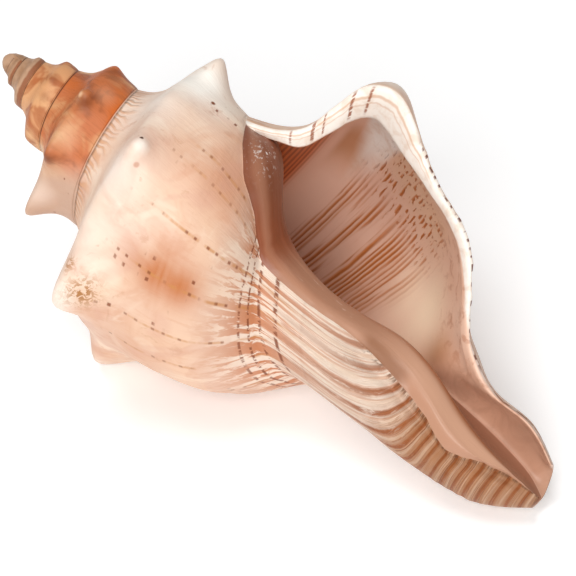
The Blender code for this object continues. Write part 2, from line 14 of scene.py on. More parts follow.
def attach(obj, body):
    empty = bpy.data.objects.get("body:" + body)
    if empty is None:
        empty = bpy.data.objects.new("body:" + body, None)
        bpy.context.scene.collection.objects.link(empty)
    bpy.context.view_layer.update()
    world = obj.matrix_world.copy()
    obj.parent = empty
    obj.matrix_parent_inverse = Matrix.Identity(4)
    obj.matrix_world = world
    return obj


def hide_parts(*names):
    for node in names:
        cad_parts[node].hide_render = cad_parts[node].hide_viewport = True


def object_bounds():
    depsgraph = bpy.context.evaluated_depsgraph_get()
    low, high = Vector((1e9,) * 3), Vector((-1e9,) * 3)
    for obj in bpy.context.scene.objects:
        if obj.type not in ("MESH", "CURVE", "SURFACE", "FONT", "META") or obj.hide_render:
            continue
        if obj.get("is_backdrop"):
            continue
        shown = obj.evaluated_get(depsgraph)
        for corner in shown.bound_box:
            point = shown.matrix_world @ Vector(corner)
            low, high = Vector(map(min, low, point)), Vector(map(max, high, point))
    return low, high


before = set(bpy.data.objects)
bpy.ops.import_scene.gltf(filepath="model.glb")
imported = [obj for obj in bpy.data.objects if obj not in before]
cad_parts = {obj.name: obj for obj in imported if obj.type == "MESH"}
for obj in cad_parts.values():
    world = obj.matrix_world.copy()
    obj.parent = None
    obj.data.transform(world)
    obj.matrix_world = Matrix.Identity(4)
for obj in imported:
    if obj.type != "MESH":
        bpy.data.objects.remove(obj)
cad_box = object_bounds()

# Growth of the spiral
GROWTH = 1.86  # times larger after each turn
TURNS = 4.9  # from the apex to the lip
LIP_AZIMUTH = 24.0  # of the lip, where it meets the last turn
CANAL_END = 0.1525  # down the axis from the spiral's own centre
SUTURE = 0.54  # station where the next turn covers this one
SUTURE_RADIUS, SUTURE_DOWN = 0.0249, 0.0541  # at the lip

# Along the whorl: station, then radius and distance down the axis of a late whorl, of an early
# whorl and of the lip itself, all at the size of the last turn
WHORL = np.array([
    (0.00, SUTURE_RADIUS, SUTURE_DOWN, SUTURE_RADIUS, SUTURE_DOWN, SUTURE_RADIUS, SUTURE_DOWN),
    (0.05, 0.0276, 0.0589, 0.0268, 0.0595, 0.0275, 0.0602),
    (0.11, 0.0319, 0.0634, 0.0296, 0.0654, 0.0312, 0.0646),
    (0.19, 0.0389, 0.0672, 0.0344, 0.0714, 0.0388, 0.0670),
    (0.26, 0.0443, 0.0706, 0.0396, 0.0758, 0.0457, 0.0697),
    (0.31, 0.0460, 0.0744, 0.0432, 0.0796, 0.0481, 0.0736),
    (0.36, 0.0464, 0.0788, 0.0454, 0.0840, 0.0485, 0.0778),
    (0.45, 0.0465, 0.0895, 0.0468, 0.0920, 0.0444, 0.0865),
    (SUTURE, GROWTH * SUTURE_RADIUS, GROWTH * SUTURE_DOWN, GROWTH * SUTURE_RADIUS,
     GROWTH * SUTURE_DOWN, 0.0400, 0.0945),
    (0.61, 0.0432, 0.1090, 0.0432, 0.1090, 0.0376, 0.1012),
    (0.67, 0.0380, 0.1163, 0.0380, 0.1163, 0.0349, 0.1070),
    (0.73, 0.0295, 0.1228, 0.0295, 0.1228, 0.0305, 0.1118),
    (0.78, 0.0215, 0.1276, 0.0215, 0.1276, 0.0260, 0.1151),
    (0.82, 0.0155, 0.1320, 0.0155, 0.1320, 0.0220, 0.1177),
])
WHORL_STATION, LATE, EARLY, LIP = WHORL[:, 0], WHORL[:, 1:3], WHORL[:, 3:5], WHORL[:, 5:7]
EARLY_FROM, EARLY_OVER = -1.3, 1.7  # growth where the early shape starts, and turns of the change
FLARE_TURNS = 0.34  # before the lip, where its flare starts

# The neck under the whorl: station, share of the way down to the canal's end, and the lip there
NECK = np.array([
    (0.87, 0.32, 0.0168, 0.1229),
    (0.92, 0.60, 0.0128, 0.1310),
    (0.96, 0.82, 0.0118, 0.1414),
    (1.00, 1.00, 0.0067, 0.1500),
])
STATIONS = np.append(WHORL_STATION, NECK[:, 0])
# Distance down the axis and radius of the neck
NECK_SIZE = np.array([
    (0.060, 0.0095), (0.095, 0.0118), (0.105, 0.0112), (0.120, 0.0107), (0.130, 0.0103),
    (0.138, 0.0096), (0.143, 0.0087), (0.148, 0.0063), (0.150, 0.0050), (CANAL_END, 0.0032),
])
NECK_BLEND, NECK_FILL = 0.003, 0.00105  # how softly the base of the whorl runs into the neck
CANAL_SHIFT = np.array([0.0026, -0.0006])  # of the canal's end, off the axis
CANAL_SHIFT_FROM = 0.88

# The apex is blunt: its turns are wider and sit lower than the spiral says
APEX_WIDER, APEX_WIDER_FROM, APEX_WIDER_OVER = 0.0012, -2.0, 1.4
APEX_LOWER, APEX_LOWER_FROM, APEX_LOWER_OVER = 0.0012, -1.1, 1.0
APEX_TOP = 0.0013
# Rings over the apex: share of radius, share of height, and how evenly the points are spread
APEX_RINGS = ((0.90, 0.70, 0.15), (0.72, 0.40, 0.50), (0.45, 0.15, 0.85), (0.20, 0.03, 1.0))

# The belly of the last turn is slimmer, the more so underneath
BELLY_STATION, BELLY_WIDTH = 0.56, 0.11
BELLY_SLIM = 0.0018
UNDER_GROWTH, UNDER_WIDTH, UNDER_SLIM = -0.38, 0.13, 0.0026

# Knobs on the shoulder: azimuth, height at the size of the lip, half width in degrees, and the
# station, where it isn't the usual one
KNOB_STATION = 0.318
KNOBS = [
    (12, 0.0025, 14), (-38, 0.0080, 13), (-95, 0.0130, 14), (-147, 0.0143, 14, 0.338),
    (-213, 0.0115, 13, 0.330), (-275, 0.0065, 12), (-348, 0.0115, 12, 0.345), (-397, 0.0080, 12),
    (-445, 0.0080, 12), (-493, 0.0115, 13), (-550, 0.0155, 14), (-599, 0.0085, 11),
    (-649, 0.0050, 11), (-703, 0.0035, 12),
]
SPIRE_KNOBS = range(-755, -1900, -51)
KNOBS += [(azimuth, 0.0025, 12) for azimuth in SPIRE_KNOBS]
KNOBS = [(*knob, KNOB_STATION)[:4] for knob in KNOBS]
KNOB_ABOVE, KNOB_BELOW = 0.0714, 0.0833  # half heights, in stations
KNOB_POINT = 0.95  # 1 is round-topped, and less is more pointed
KNOB_LEAN = 0.08  # share of its height by which a knob leans up the spire

# The callus edge, where the inner lip lies on the neck: station and azimuth
CALLUS_EDGE = np.array([
    (SUTURE, 24), (0.55, 29), (0.56, 34), (0.58, 43), (0.61, 50), (0.64, 56), (0.67, 58),
    (0.70, 59), (0.73, 62), (0.755, 67), (0.78, 72), (0.82, 81), (0.845, 82), (0.87, 77),
    (0.895, 81), (0.92, 93), (0.94, 110), (0.96, 98), (0.98, 92), (1.0, 100),
])
GROOVE_DEPTH, GROOVE_AT, GROOVE_WIDTH, GROOVE_START = 0.0013, 11.0, 8.0, 6.0

# The rim, from the lip's outer edge to its inner edge: station, change of radius, change of
# distance down the axis, and degrees back into the opening
RIM = np.array([
    (0.00, -0.0008, 0.0037, 0.0), (0.05, -0.0020, 0.0017, 0.0), (0.11, -0.0039, 0.0020, 0.0),
    (0.19, -0.0056, 0.0026, 1.0), (0.26, -0.0074, 0.0026, 5.0), (0.31, -0.0082, 0.0014, 8.0),
    (0.36, -0.0082, 0.0008, 7.0), (0.45, -0.0054, 0.0009, 3.0), (0.54, -0.0030, 0.0006, 1.5),
    (0.61, -0.0026, 0.0000, 1.5), (0.67, -0.0026, -0.0009, 2.0), (0.73, -0.0020, -0.0016, 2.0),
    (0.78, -0.0015, -0.0016, 2.0), (0.82, -0.0012, -0.0015, 3.0), (0.87, -0.0014, -0.0009, 3.0),
    (0.92, -0.0014, -0.0004, 3.0), (0.96, -0.0011, -0.0002, 4.0), (1.00, -0.0008, -0.0001, 4.0),
])
RIM_SHARE = 0.22  # of the way back, at the rim's inner edge
# Share of the way back where the plain wall starts, at each station: the lip's knob is filled
WALL_SHARE = np.array([(0.00, 0.47), (0.24, 0.47), (0.33, 0.78), (0.40, 0.72), (0.50, 0.47)])
RIM_SWELL = 0.0007
LIP_LAG = 8.0  # degrees that the lip's edge runs behind its place at the suture
BACK_SPREAD = 1.25

# Thickness of the wall behind the rim: station and thickness
WALL = np.array([
    (0.00, 0.0040), (0.05, 0.0028), (0.25, 0.0022), (0.50, 0.0020), (0.66, 0.0026),
    (0.74, 0.0028), (0.82, 0.0020), (0.87, 0.0017), (0.92, 0.0020), (1.00, 0.0011),
])

# The deep line, where both sides of the opening turn into the throat
DEEP_AZIMUTH = -45.0
TROUGH = 0.92  # station from where the two sides meet in the floor of the canal
# The floor of the opening on the deep line: station, radius and distance down the axis
FLOOR = np.array([
    (0.74, 0.0240, 0.1040), (0.78, 0.0192, 0.1080), (0.82, 0.0146, 0.1112),
    (0.845, 0.0123, 0.1131), (0.87, 0.0106, 0.1150), (0.895, 0.0093, 0.1169),
    (TROUGH, 0.00833, 0.1188),
])

# The inner lip, across from the callus edge (0) to the deep line (1)
ACROSS = np.array([0, 0.10, 0.25, 0.45, 0.65, 0.83, 1.0])
SIDE = 0.65  # where its side faces the opening
LIP_FULLNESS = 0.0009
# Down the columella: station, then radius and distance down the axis of its side and deep line
COLUMELLA = np.array([
    (0.54, 0.0241, 0.0563, 0.0222, 0.0517), (0.58, 0.0240, 0.0586, 0.0214, 0.0530),
    (0.61, 0.0230, 0.0609, 0.0203, 0.0548), (0.67, 0.0199, 0.0642, 0.0174, 0.0579),
    (0.73, 0.0156, 0.0674, 0.0136, 0.0610), (0.78, 0.0116, 0.0712, 0.0102, 0.0646),
    (0.82, 0.0086, 0.0765, 0.0078, 0.0700), (0.845, 0.0065, 0.0880, 0.0063, 0.0820),
    (0.87, 0.0072, 0.0990, 0.0062, 0.0940),
])
# Its foot and the canal: points across each station, as right of, in front of and down the axis
CANAL_STATION = np.array([0.895, TROUGH, 0.94, 0.96, 0.98, 1.0])
CANAL = np.array([
    [(0.0020, 0.0116, 0.1120), (0.0039, 0.0110, 0.1115), (0.0069, 0.0092, 0.1105),
     (0.0092, 0.0062, 0.1095), (0.0093, 0.0022, 0.1085), (0.0070, -0.0030, 0.1080),
     (0.0049, -0.0049, 0.1080)],
    [(0.0001, 0.0111, 0.1220), (0.0020, 0.0116, 0.1215), (0.0049, 0.0108, 0.1210),
     (0.0077, 0.0086, 0.1200), (0.0082, 0.0046, 0.1190), (0.0066, -0.0017, 0.1185),
     (0.00595, -0.00583, 0.1188)],
    [(-0.0022, 0.0105, 0.1300), (-0.0006, 0.0113, 0.1300), (0.0020, 0.0104, 0.1295),
     (0.0046, 0.0086, 0.1295), (0.0049, 0.0048, 0.1290), (0.0046, -0.0020, 0.1290),
     (0.0064, -0.0055, 0.1290)],
    [(-0.0022, 0.0096, 0.1375), (-0.0010, 0.0103, 0.1375), (0.0010, 0.0098, 0.1375),
     (0.0030, 0.0085, 0.1375), (0.0030, 0.0048, 0.1375), (0.0032, -0.0016, 0.1370),
     (0.0063, -0.0050, 0.1370)],
    [(0.0016, 0.0076, 0.1455), (0.0018, 0.0077, 0.1455), (0.0020, 0.0075, 0.1455),
     (0.0022, 0.0068, 0.1455), (0.0023, 0.0034, 0.1452), (0.0030, -0.0010, 0.1450),
     (0.0052, -0.0039, 0.1450)],
    [(0.0016, 0.0024, 0.1514), (0.00165, 0.0023, 0.1513), (0.0017, 0.0021, 0.1512),
     (0.0018, 0.0015, 0.1510), (0.0022, 0.0002, 0.1509), (0.0028, -0.0013, 0.1509),
     (0.0039, -0.0022, 0.1511)],
])

# The throat follows the spiral in and ends blind
THROAT_DEGREES = 130.0

# How the shell lies: the azimuth of its underside, and degrees that its apex end is raised
UNDERSIDE_AZIMUTH = -127.3
REST_TILT = 21.54

# Faces: columns in a turn, then rows and columns of each stretch
COLUMNS = 200
WHORL_ROWS, BASE_ROWS, CANAL_ROWS = 46, 46, 32
SHEET_COLUMNS = 44
THROAT_COLUMNS = 34
SOFTENING_STEPS, SOFTENING_SHARE = 34, 0.6
OUTLINE_POINTS = 400  # that distances along the outline are read from

# Growth lines run straight down the whorl, then turn round the foot to meet the callus edge
FOOT_DOWN, FOOT_TURN = 0.1162, 124.0  # distance down the axis where the line of this azimuth ends
FOOT_STEP = 0.00014  # how much further down each degree of growth ends
FOOT_REACH, FOOT_BEND = 0.014, 18.0  # where a line starts to turn, and how many degrees it bends
RIDGES_IN_TURN = 20.0
RIDGE_HEIGHT = 0.000420
# How uneven the body, all of the outside, the lip's edge and the callus edge are
BODY_HEIGHT, SKIN_HEIGHT, EDGE_HEIGHT, CALLUS_HEIGHT = 0.00020, 0.00022, 0.00045, 0.00035

# Pairs of spiral lines: stations half way between the two lines of each pair
LINE_PAIRS = np.array([
    0.03, 0.085, 0.135, 0.19, 0.245, 0.30, 0.365, 0.435, 0.508, 0.588, 0.655, 0.718, 0.769,
    0.8245, 0.852, 0.872, 0.888, 0.904, 0.918, 0.932, 0.945, 0.958, 0.972, 0.986, 1.0,
])


def ramp(x):
    """0 up to 0, 1 from 1, and smooth between."""
    x = np.clip(x, 0, 1)
    return x * x * (3 - 2 * x)


def rise(x, start, over):
    """0 up to the start, and 1 once x is that much over it."""
    return ramp((x - start) / over)


def fall(x, start, over):
    """1 up to the start, and 0 once x is that much over it."""
    return 1 - rise(x, start, over)


def together(one, other):
    """Both as arrays of one shape."""
    return np.broadcast_arrays(np.asarray(one, float), np.asarray(other, float))


def net(down, over):
    """Both numbers at each point of a grid."""
    return np.meshgrid(down, over, indexing="ij")


def way_along(points):
    """The distance along a line of points, at each of them."""
    steps = np.linalg.norm(np.diff(points, axis=0), axis=1)
    return np.concatenate([[0], np.cumsum(steps)])


def spread(points, middle, reach):
    """1 in the middle of a round patch, fading over its reach."""
    return np.exp(-((np.linalg.norm(points - middle, axis=1) / reach) ** 2))


def curve(x, knots, values):
    """The smooth curve through values at knots, read at x."""
    knots = np.asarray(knots, float)
    values = np.asarray(values, float)
    tail = (1,) * (values.ndim - 1)
    step = np.diff(knots).reshape((-1,) + tail)
    steep = np.diff(values, axis=0) / step
    slope = np.empty_like(values)
    slope[1:-1] = (steep[:-1] * step[1:] + steep[1:] * step[:-1]) / (step[1:] + step[:-1])
    slope[0] = 1.5 * steep[0] - 0.5 * slope[1]
    slope[-1] = 1.5 * steep[-1] - 0.5 * slope[-2]
    x = np.asarray(x, float)
    left = np.clip(np.searchsorted(knots, x, side="right") - 1, 0, len(knots) - 2)
    width = (knots[left + 1] - knots[left]).reshape(x.shape + tail)
    u = (x - knots[left]).reshape(x.shape + tail) / width
    ends = (2 * u**3 - 3 * u**2 + 1) * values[left] + (3 * u**2 - 2 * u**3) * values[left + 1]
    slopes = (u**3 - 2 * u**2 + u) * slope[left] + (u**3 - u**2) * slope[left + 1]
    return ends + width * slopes


def shares(x, knots):
    """How much of each knot's value the smooth curve takes at x."""
    return curve(x, knots, np.eye(len(knots)))


def neck_radius(down):
    return np.interp(down, *NECK_SIZE.T)


def whorl_outline(growth):
    """Radius and distance down the axis at every station, for each growth."""
    flare = ramp(growth / FLARE_TURNS + 1)[..., None, None]
    early = ramp((EARLY_FROM - growth) / EARLY_OVER)[..., None, None]
    grown = (LATE * (1 - early) + EARLY * early) * (1 - flare) + LIP * flare
    whorl = grown * GROWTH ** growth[..., None, None]
    # The base of the last turn runs softly into the neck
    neck = neck_radius(whorl[..., 1])
    wider = np.maximum(whorl[..., 0], neck)
    step = np.abs(whorl[..., 0] - neck)
    filled = wider + NECK_FILL * np.exp(-step / NECK_BLEND)
    base = (WHORL_STATION > SUTURE) & (growth > -1.001)[..., None]
    whorl[..., 0] = np.where(base, filled, whorl[..., 0])
    foot = whorl[..., -1:, 1]
    down = foot + (CANAL_END - foot) * NECK[:, 1]
    neck = np.stack([neck_radius(down), down], -1) * (1 - flare) + NECK[:, 2:] * flare
    return np.concatenate([whorl, neck], axis=-2)


def section(growth, station):
    """Radius and distance down the axis of the skin, before its knobs."""
    growth, station = together(growth, station)
    found = np.einsum("...n,...nk->...k", shares(station, STATIONS), whorl_outline(growth))
    last_turn = rise(growth, -1, 0.5) * fall(growth, -0.25, 0.25)
    under = np.exp(-(((growth - UNDER_GROWTH) / UNDER_WIDTH) ** 2))
    belly = np.exp(-(((station - BELLY_STATION) / BELLY_WIDTH) ** 2))
    found[..., 0] -= belly * (BELLY_SLIM * last_turn + UNDER_SLIM * under)
    age = growth + np.minimum(station / SUTURE, 1)
    found[..., 0] += APEX_WIDER * fall(age, APEX_WIDER_FROM, APEX_WIDER_OVER)
    found[..., 1] += APEX_LOWER * fall(age, APEX_LOWER_FROM, APEX_LOWER_OVER)
    return found


def knob_height(growth, station, knobs):
    azimuth = LIP_AZIMUTH + 360 * growth
    height = 0
    for at, high, wide, middle in knobs:
        along = (azimuth - at) / wide
        across = station - middle
        across = across / np.where(across < 0, KNOB_ABOVE, KNOB_BELOW)
        size = high * GROWTH ** ((at - LIP_AZIMUTH) / 360)
        height = height + size * np.exp(-((along**2 + across**2) ** KNOB_POINT))
    return height


def lip_lag(growth, station):
    return LIP_LAG * ramp(station / 0.2) * ramp(growth / 0.15 + 1)


def place(azimuth, radius, down):
    """Points in the shell's own frame: right, front and down the axis."""
    angle = np.radians(azimuth)
    return np.stack([radius * np.cos(angle), radius * np.sin(angle), down + 0 * angle], -1)


def shifted(points, station):
    share = np.clip((station - CANAL_SHIFT_FROM) / (1 - CANAL_SHIFT_FROM), 0, 1) ** 2
    moved = points.copy()
    moved[..., :2] += share[..., None] * CANAL_SHIFT
    return moved


def callus_growth(station):
    azimuth = curve(station, *CALLUS_EDGE.T)
    return (azimuth - LIP_AZIMUTH) / 360 - 1


def outside(growth, station):
    growth, station = together(growth, station)
    found = section(growth, station)
    # A groove runs along the callus edge
    past = 360 * (growth - callus_growth(np.maximum(station, SUTURE)))
    length = rise(station, 0.83, 0.05) * ramp((1 - station) / 0.03)
    groove = length * np.exp(-(((past - GROOVE_AT) / GROOVE_WIDTH) ** 2))
    found[..., 0] -= GROOVE_DEPTH * (groove * ramp(past / GROOVE_START))
    knob = knob_height(growth, station, KNOBS)
    azimuth = LIP_AZIMUTH + 360 * growth - lip_lag(growth, station)
    points = place(azimuth, found[..., 0] + knob, found[..., 1] - KNOB_LEAN * knob)
    return shifted(points, station)


def inward(growth, station):
    """The direction from the outside into the wall, in radius and distance down the axis."""
    reach = 0.01 + 0.06 * ramp(1 - np.abs(station - 0.3) / 0.25)
    ahead = section(growth, np.clip(station + reach, 0, 1))
    behind = section(growth, np.clip(station - reach, 0, 1))
    along = (ahead - behind) / np.linalg.norm(ahead - behind, axis=-1, keepdims=True)
    turned = np.stack([-along[..., 1], along[..., 0]], -1)
    share = ramp(station / 0.10)[..., None]
    return turned * share + np.array([0.02, 1.0]) * (1 - share)


def lip_side(station, back):
    """The lip's edge (back 0), over the rim and along the wall to the deep line (back 1)."""
    station, back = together(station, back)
    rim = curve(station, RIM[:, 0], RIM[:, 1:])
    wall = curve(station, *WALL.T)
    face = np.clip(back / RIM_SHARE, 0, 1)
    behind = np.clip((back - RIM_SHARE) / (1 - RIM_SHARE), 0, 1)
    rest = LIP_AZIMUTH - DEEP_AZIMUTH - rim[..., 2]
    growth = -(rim[..., 2] * face**1.5 + rest * behind**BACK_SPREAD) / 360
    plain = np.interp(station, *WALL_SHARE.T)
    to_wall = rise(back, RIM_SHARE, plain - RIM_SHARE)[..., None]
    # Only the lip's own knob shows on the inside, and it fades out behind
    fade = 1 - 0.25 * face - 0.75 * rise(back, 0.3, 0.7)
    knob = knob_height(growth, station, KNOBS[:1]) * fade
    step = rim[..., :2] * face[..., None] * (1 - to_wall)
    step = step + inward(growth, station) * wall[..., None] * to_wall
    found = section(growth, station) + np.stack([knob, -KNOB_LEAN * knob], -1)
    found = found + step * GROWTH ** growth[..., None]
    azimuth = LIP_AZIMUTH + 360 * growth - lip_lag(growth, station)
    points = shifted(place(azimuth, found[..., 0], found[..., 1]), station)
    # The face of the rim swells forward
    swell = RIM_SWELL * np.sin(np.pi * face**0.7) * (back < RIM_SHARE)
    facing = np.radians(LIP_AZIMUTH - lip_lag(0 * station, station))
    return points + swell[..., None] * np.stack([-np.sin(facing), np.cos(facing), 0 * facing], -1)


def columella_row(station, side_radius, side_down, deep_radius, deep_down):
    """Points across the columella at one station, through its edge, side and deep line."""
    edge = section(callus_growth(station), station)
    edge_azimuth = np.interp(station, *CALLUS_EDGE.T)
    ends = np.array([edge, (side_radius, side_down), (deep_radius, deep_down)])
    shape = np.stack([
        (ACROSS - SIDE) * (ACROSS - 1) / SIDE,
        ACROSS * (ACROSS - 1) / (SIDE * (SIDE - 1)),
        ACROSS * (ACROSS - SIDE) / (1 - SIDE),
    ], -1) @ ends
    full = np.interp(ACROSS, (0, 0.10, 0.45, SIDE), (0, 1, 0.6, 0))
    shape[:, 0] += LIP_FULLNESS * full * rise(station, 0.57, 0.09)
    azimuth = edge_azimuth + (DEEP_AZIMUTH - edge_azimuth) * ACROSS**1.15
    return place(azimuth, shape[:, 0], shape[:, 1])


INNER_STATION = np.append(COLUMELLA[:, 0], CANAL_STATION)
INNER_NET = np.concatenate([[columella_row(*row) for row in COLUMELLA], CANAL])


def inner_side(station, across):
    """The inner lip, from the callus edge (across 0) to the deep line (across 1)."""
    station, across = together(station, across)
    down_net = shares(station, INNER_STATION)
    points = np.einsum("...i,...j,ijk->...k", down_net, shares(across, ACROSS), INNER_NET)
    edge_gap = outside(callus_growth(station), station)
    edge_gap = edge_gap - np.einsum("...i,ik->...k", down_net, INNER_NET[:, 0])
    points = points + edge_gap * (1 - ramp(across / 0.2))[..., None]
    # Its top row is also that of the lip's side
    top = fall(station, SUTURE, 0.05)[..., None]
    return points * (1 - top) + lip_side(0 * station, across) * top


def lip_wall(station, back):
    """The lip's side, drawn in at the base so that it meets the inner lip in the canal's floor."""
    points = lip_side(station, back)
    radius = np.interp(station, FLOOR[:, 0], FLOOR[:, 1])
    down = np.interp(station, FLOOR[:, 0], FLOOR[:, 2])
    floor = place(DEEP_AZIMUTH + rise(station, 0.78, 0.14), radius, down)
    trough = inner_side(np.maximum(station, TROUGH), np.ones_like(station))
    deep = np.where((station >= TROUGH)[..., None], trough, floor)
    share = (rise(station, 0.74, 0.08) * ramp(back))[..., None]
    return points + (deep - lip_side(station, np.ones_like(station))) * share


def softplus(x, soft):
    return soft * np.logaddexp(0, x / soft)


def growth_line(azimuth, down):
    """The growth, in turns, whose line passes each place on the outside."""
    low, high = azimuth.copy(), azimuth + 400.0
    for _ in range(40):
        middle = (low + high) / 2
        foot = FOOT_DOWN + FOOT_STEP * (middle - FOOT_TURN)
        above = np.maximum(foot - down, 1e-5)
        bend = FOOT_BEND * softplus(np.log(FOOT_REACH / above), 0.25)
        under = (middle - bend < azimuth) | (foot <= down)
        low = np.where(under, middle, low)
        high = np.where(under, high, middle)
    return (low - LIP_AZIMUTH - 360) / 360


class Skin:
    """The points and faces of the closed skin, added patch by patch, with each point's marks."""

    MARKS = ("growth", "station", "inside", "inner", "reach", "softness")

    def __init__(self):
        self.points = np.empty((0, 3))
        self.marks = {name: np.empty(0) for name in self.MARKS}
        self.faces = []
        self.inside_from = 0

    def add(self, points, **marks):
        """Adds a grid of points and gives back their numbers as the same grid."""
        shape = points.shape[:-1]
        first = len(self.points)
        self.points = np.vstack([self.points, points.reshape(-1, 3)])
        for name in self.MARKS:
            value = np.broadcast_to(np.asarray(marks.get(name, 0.0), float), shape)
            self.marks[name] = np.append(self.marks[name], value.ravel())
        return np.arange(first, len(self.points)).reshape(shape)

    def cover(self, grid, turned=False):
        """Covers a grid of point numbers with four-cornered faces."""
        corners = np.stack([grid[:-1, :-1], grid[1:, :-1], grid[1:, 1:], grid[:-1, 1:]], -1)
        corners = corners.reshape(-1, 4)
        self.faces += (corners[:, ::-1] if turned else corners).tolist()

    def fan(self, ring, middle):
        """Closes a ring of points with triangles to one point in its middle."""
        for one, other in zip(ring, np.roll(ring, -1)):
            self.faces.append([int(other), int(one), int(middle)])

    def stitch(self, outer, inner):
        """Joins two lines of points that start and end at the same points."""
        ways = [way_along(self.points[line]) for line in (outer, inner)]
        outer_way, inner_way = (way / way[-1] for way in ways)
        i = j = 0
        while i < len(outer) - 1 or j < len(inner) - 1:
            outer_next = j == len(inner) - 1
            if i < len(outer) - 1 and not outer_next:
                outer_next = outer_way[i + 1] <= inner_way[j + 1]
            if outer_next:
                face = [outer[i], outer[i + 1], inner[j]]
                i += 1
            else:
                face = [outer[i], inner[j + 1], inner[j]]
                j += 1
            if len(set(map(int, face))) == 3:
                self.faces.append([int(number) for number in face])

    def cap(self, rings, middle, **marks):
        """Covers rings of points, and closes the last one to a point in its middle."""
        grid = np.array(rings).T
        self.cover(np.vstack([grid, grid[:1]]), turned=True)
        self.fan(rings[-1], self.add(middle, **marks))

    def corners(self):
        """Four corners for each face: a triangle has its last one twice."""
        return np.array([face if len(face) == 4 else face + face[-1:] for face in self.faces])


def even_stations(start, end, rows, growth):
    """Stations that are evenly spaced on the skin at one growth."""
    fine = np.linspace(start, end, OUTLINE_POINTS)
    way = way_along(section(growth, fine))
    return np.interp(np.linspace(0, way[-1], rows + 1), way, fine)


def add_outside(skin, stations):
    """The outside: the long spiral down to the suture, and the base of the last turn under it."""
    columns = round(TURNS * COLUMNS)
    growth = np.arange(-columns, 1) / COLUMNS
    spiral = np.empty((columns + 1, WHORL_ROWS + 1), int)
    along, above = net(growth, stations[:WHORL_ROWS])
    spiral[:, :WHORL_ROWS] = skin.add(outside(along, above), growth=along, station=above)
    # The lowest row of an early turn is the suture of the turn after it
    covered = columns - COLUMNS
    spiral[: covered + 1, WHORL_ROWS] = spiral[COLUMNS:, 0]
    late = growth[covered + 1 :]
    spiral[covered + 1 :, WHORL_ROWS] = skin.add(
        outside(late, SUTURE), growth=late, station=SUTURE
    )
    skin.cover(spiral)
    base = np.empty((COLUMNS + 1, len(stations) - WHORL_ROWS), int)
    base[:, 0] = spiral[covered:, WHORL_ROWS]
    share, below = net(np.linspace(0, 1, COLUMNS + 1), stations[WHORL_ROWS + 1 :])
    along = callus_growth(below) * (1 - share)
    base[:, 1:] = skin.add(outside(along, below), growth=along, station=below)
    skin.cover(base)
    return spiral, base


def add_opening(skin, stations, spiral, base):
    """The inside of the lip and of the columella, which share the top row and the canal's floor."""
    across = np.linspace(0, 1, SHEET_COLUMNS + 1)
    trough_row = WHORL_ROWS + BASE_ROWS
    skin.inside_from = len(skin.faces)
    lip = np.empty((len(stations), SHEET_COLUMNS + 1), int)
    lip[:, 0] = np.concatenate([spiral[-1, :WHORL_ROWS], base[-1]])
    rows, back = net(stations, across[1:])
    lip[:, 1:] = skin.add(
        lip_wall(rows, back), station=rows, inside=1, reach=back, softness=rise(back, 0.3, 0.3)
    )
    skin.cover(lip, turned=True)
    inner = np.empty((len(stations) - WHORL_ROWS, SHEET_COLUMNS + 1), int)
    inner[:, 0] = base[0]
    inner[0] = lip[0]
    skin.marks["inner"][base[0, 1:]] = 1
    rows, over = net(stations[WHORL_ROWS + 1 :], across[1:-1])
    inner[1:, 1:-1] = skin.add(
        inner_side(rows, over),
        station=rows,
        inside=1,
        inner=rise(rows, SUTURE, 0.02),
        reach=over,
        softness=rise(over, 0.3, 0.4),
    )
    deep = stations[WHORL_ROWS + 1 : trough_row]
    inner[1:BASE_ROWS, -1] = skin.add(
        inner_side(deep, np.ones_like(deep)), station=deep, inside=1, inner=1, reach=1, softness=1
    )
    inner[BASE_ROWS:, -1] = lip[trough_row:, -1]
    skin.cover(inner)
    skin.stitch(base[:, -1], np.concatenate([inner[-1], lip[-1, -2::-1]]))
    return np.concatenate([lip[: trough_row + 1, -1], inner[1:BASE_ROWS, -1][::-1]])


def add_throat(skin, ring):
    """The throat shrinks as it follows the spiral, and ends blind."""
    start = skin.points[ring]
    azimuth = np.degrees(np.arctan2(start[:, 1], start[:, 0]))
    radius = np.hypot(start[:, 0], start[:, 1])
    rings = [ring]
    for column in range(1, THROAT_COLUMNS + 1):
        degrees = THROAT_DEGREES * column / THROAT_COLUMNS
        size = GROWTH ** (-degrees / 360)
        turned = place(azimuth - degrees, radius * size, start[:, 2] * size)
        made = skin.add(
            turned,
            station=skin.marks["station"][ring],
            inside=1,
            inner=skin.marks["inner"][ring],
            reach=1 + degrees / 60,
            softness=float(column < THROAT_COLUMNS),
        )
        rings.append(made)
    skin.cap(rings, skin.points[made].mean(axis=0), inside=1, reach=5)


def add_apex(skin, spiral):
    """The blunt apex, whose first step is spread evenly round."""
    ring = np.concatenate([spiral[:COLUMNS, 0], spiral[0, WHORL_ROWS:0:-1]])
    start = skin.points[ring]
    radius = np.hypot(start[:, 0], start[:, 1])
    first = LIP_AZIMUTH - 360 * round(TURNS * COLUMNS) / COLUMNS
    stepped = first + 360 * np.minimum(np.arange(len(ring)) / COLUMNS, 1)
    regular = first + 360 * np.arange(len(ring)) / len(ring)
    rings = [ring]
    for share, height, even in APEX_RINGS:
        azimuth = stepped * (1 - even) + regular * even
        wide = share * (radius * (1 - even) + radius.mean() * even)
        down = start[:, 2] * (1 - even) + start[:, 2].mean() * even
        dome = place(azimuth, wide, APEX_TOP + height * (down - APEX_TOP))
        rings.append(skin.add(dome, growth=-TURNS, station=0.1))
    skin.cap(rings, np.array([0.0, 0.0, APEX_TOP]), growth=-TURNS, station=0.1)


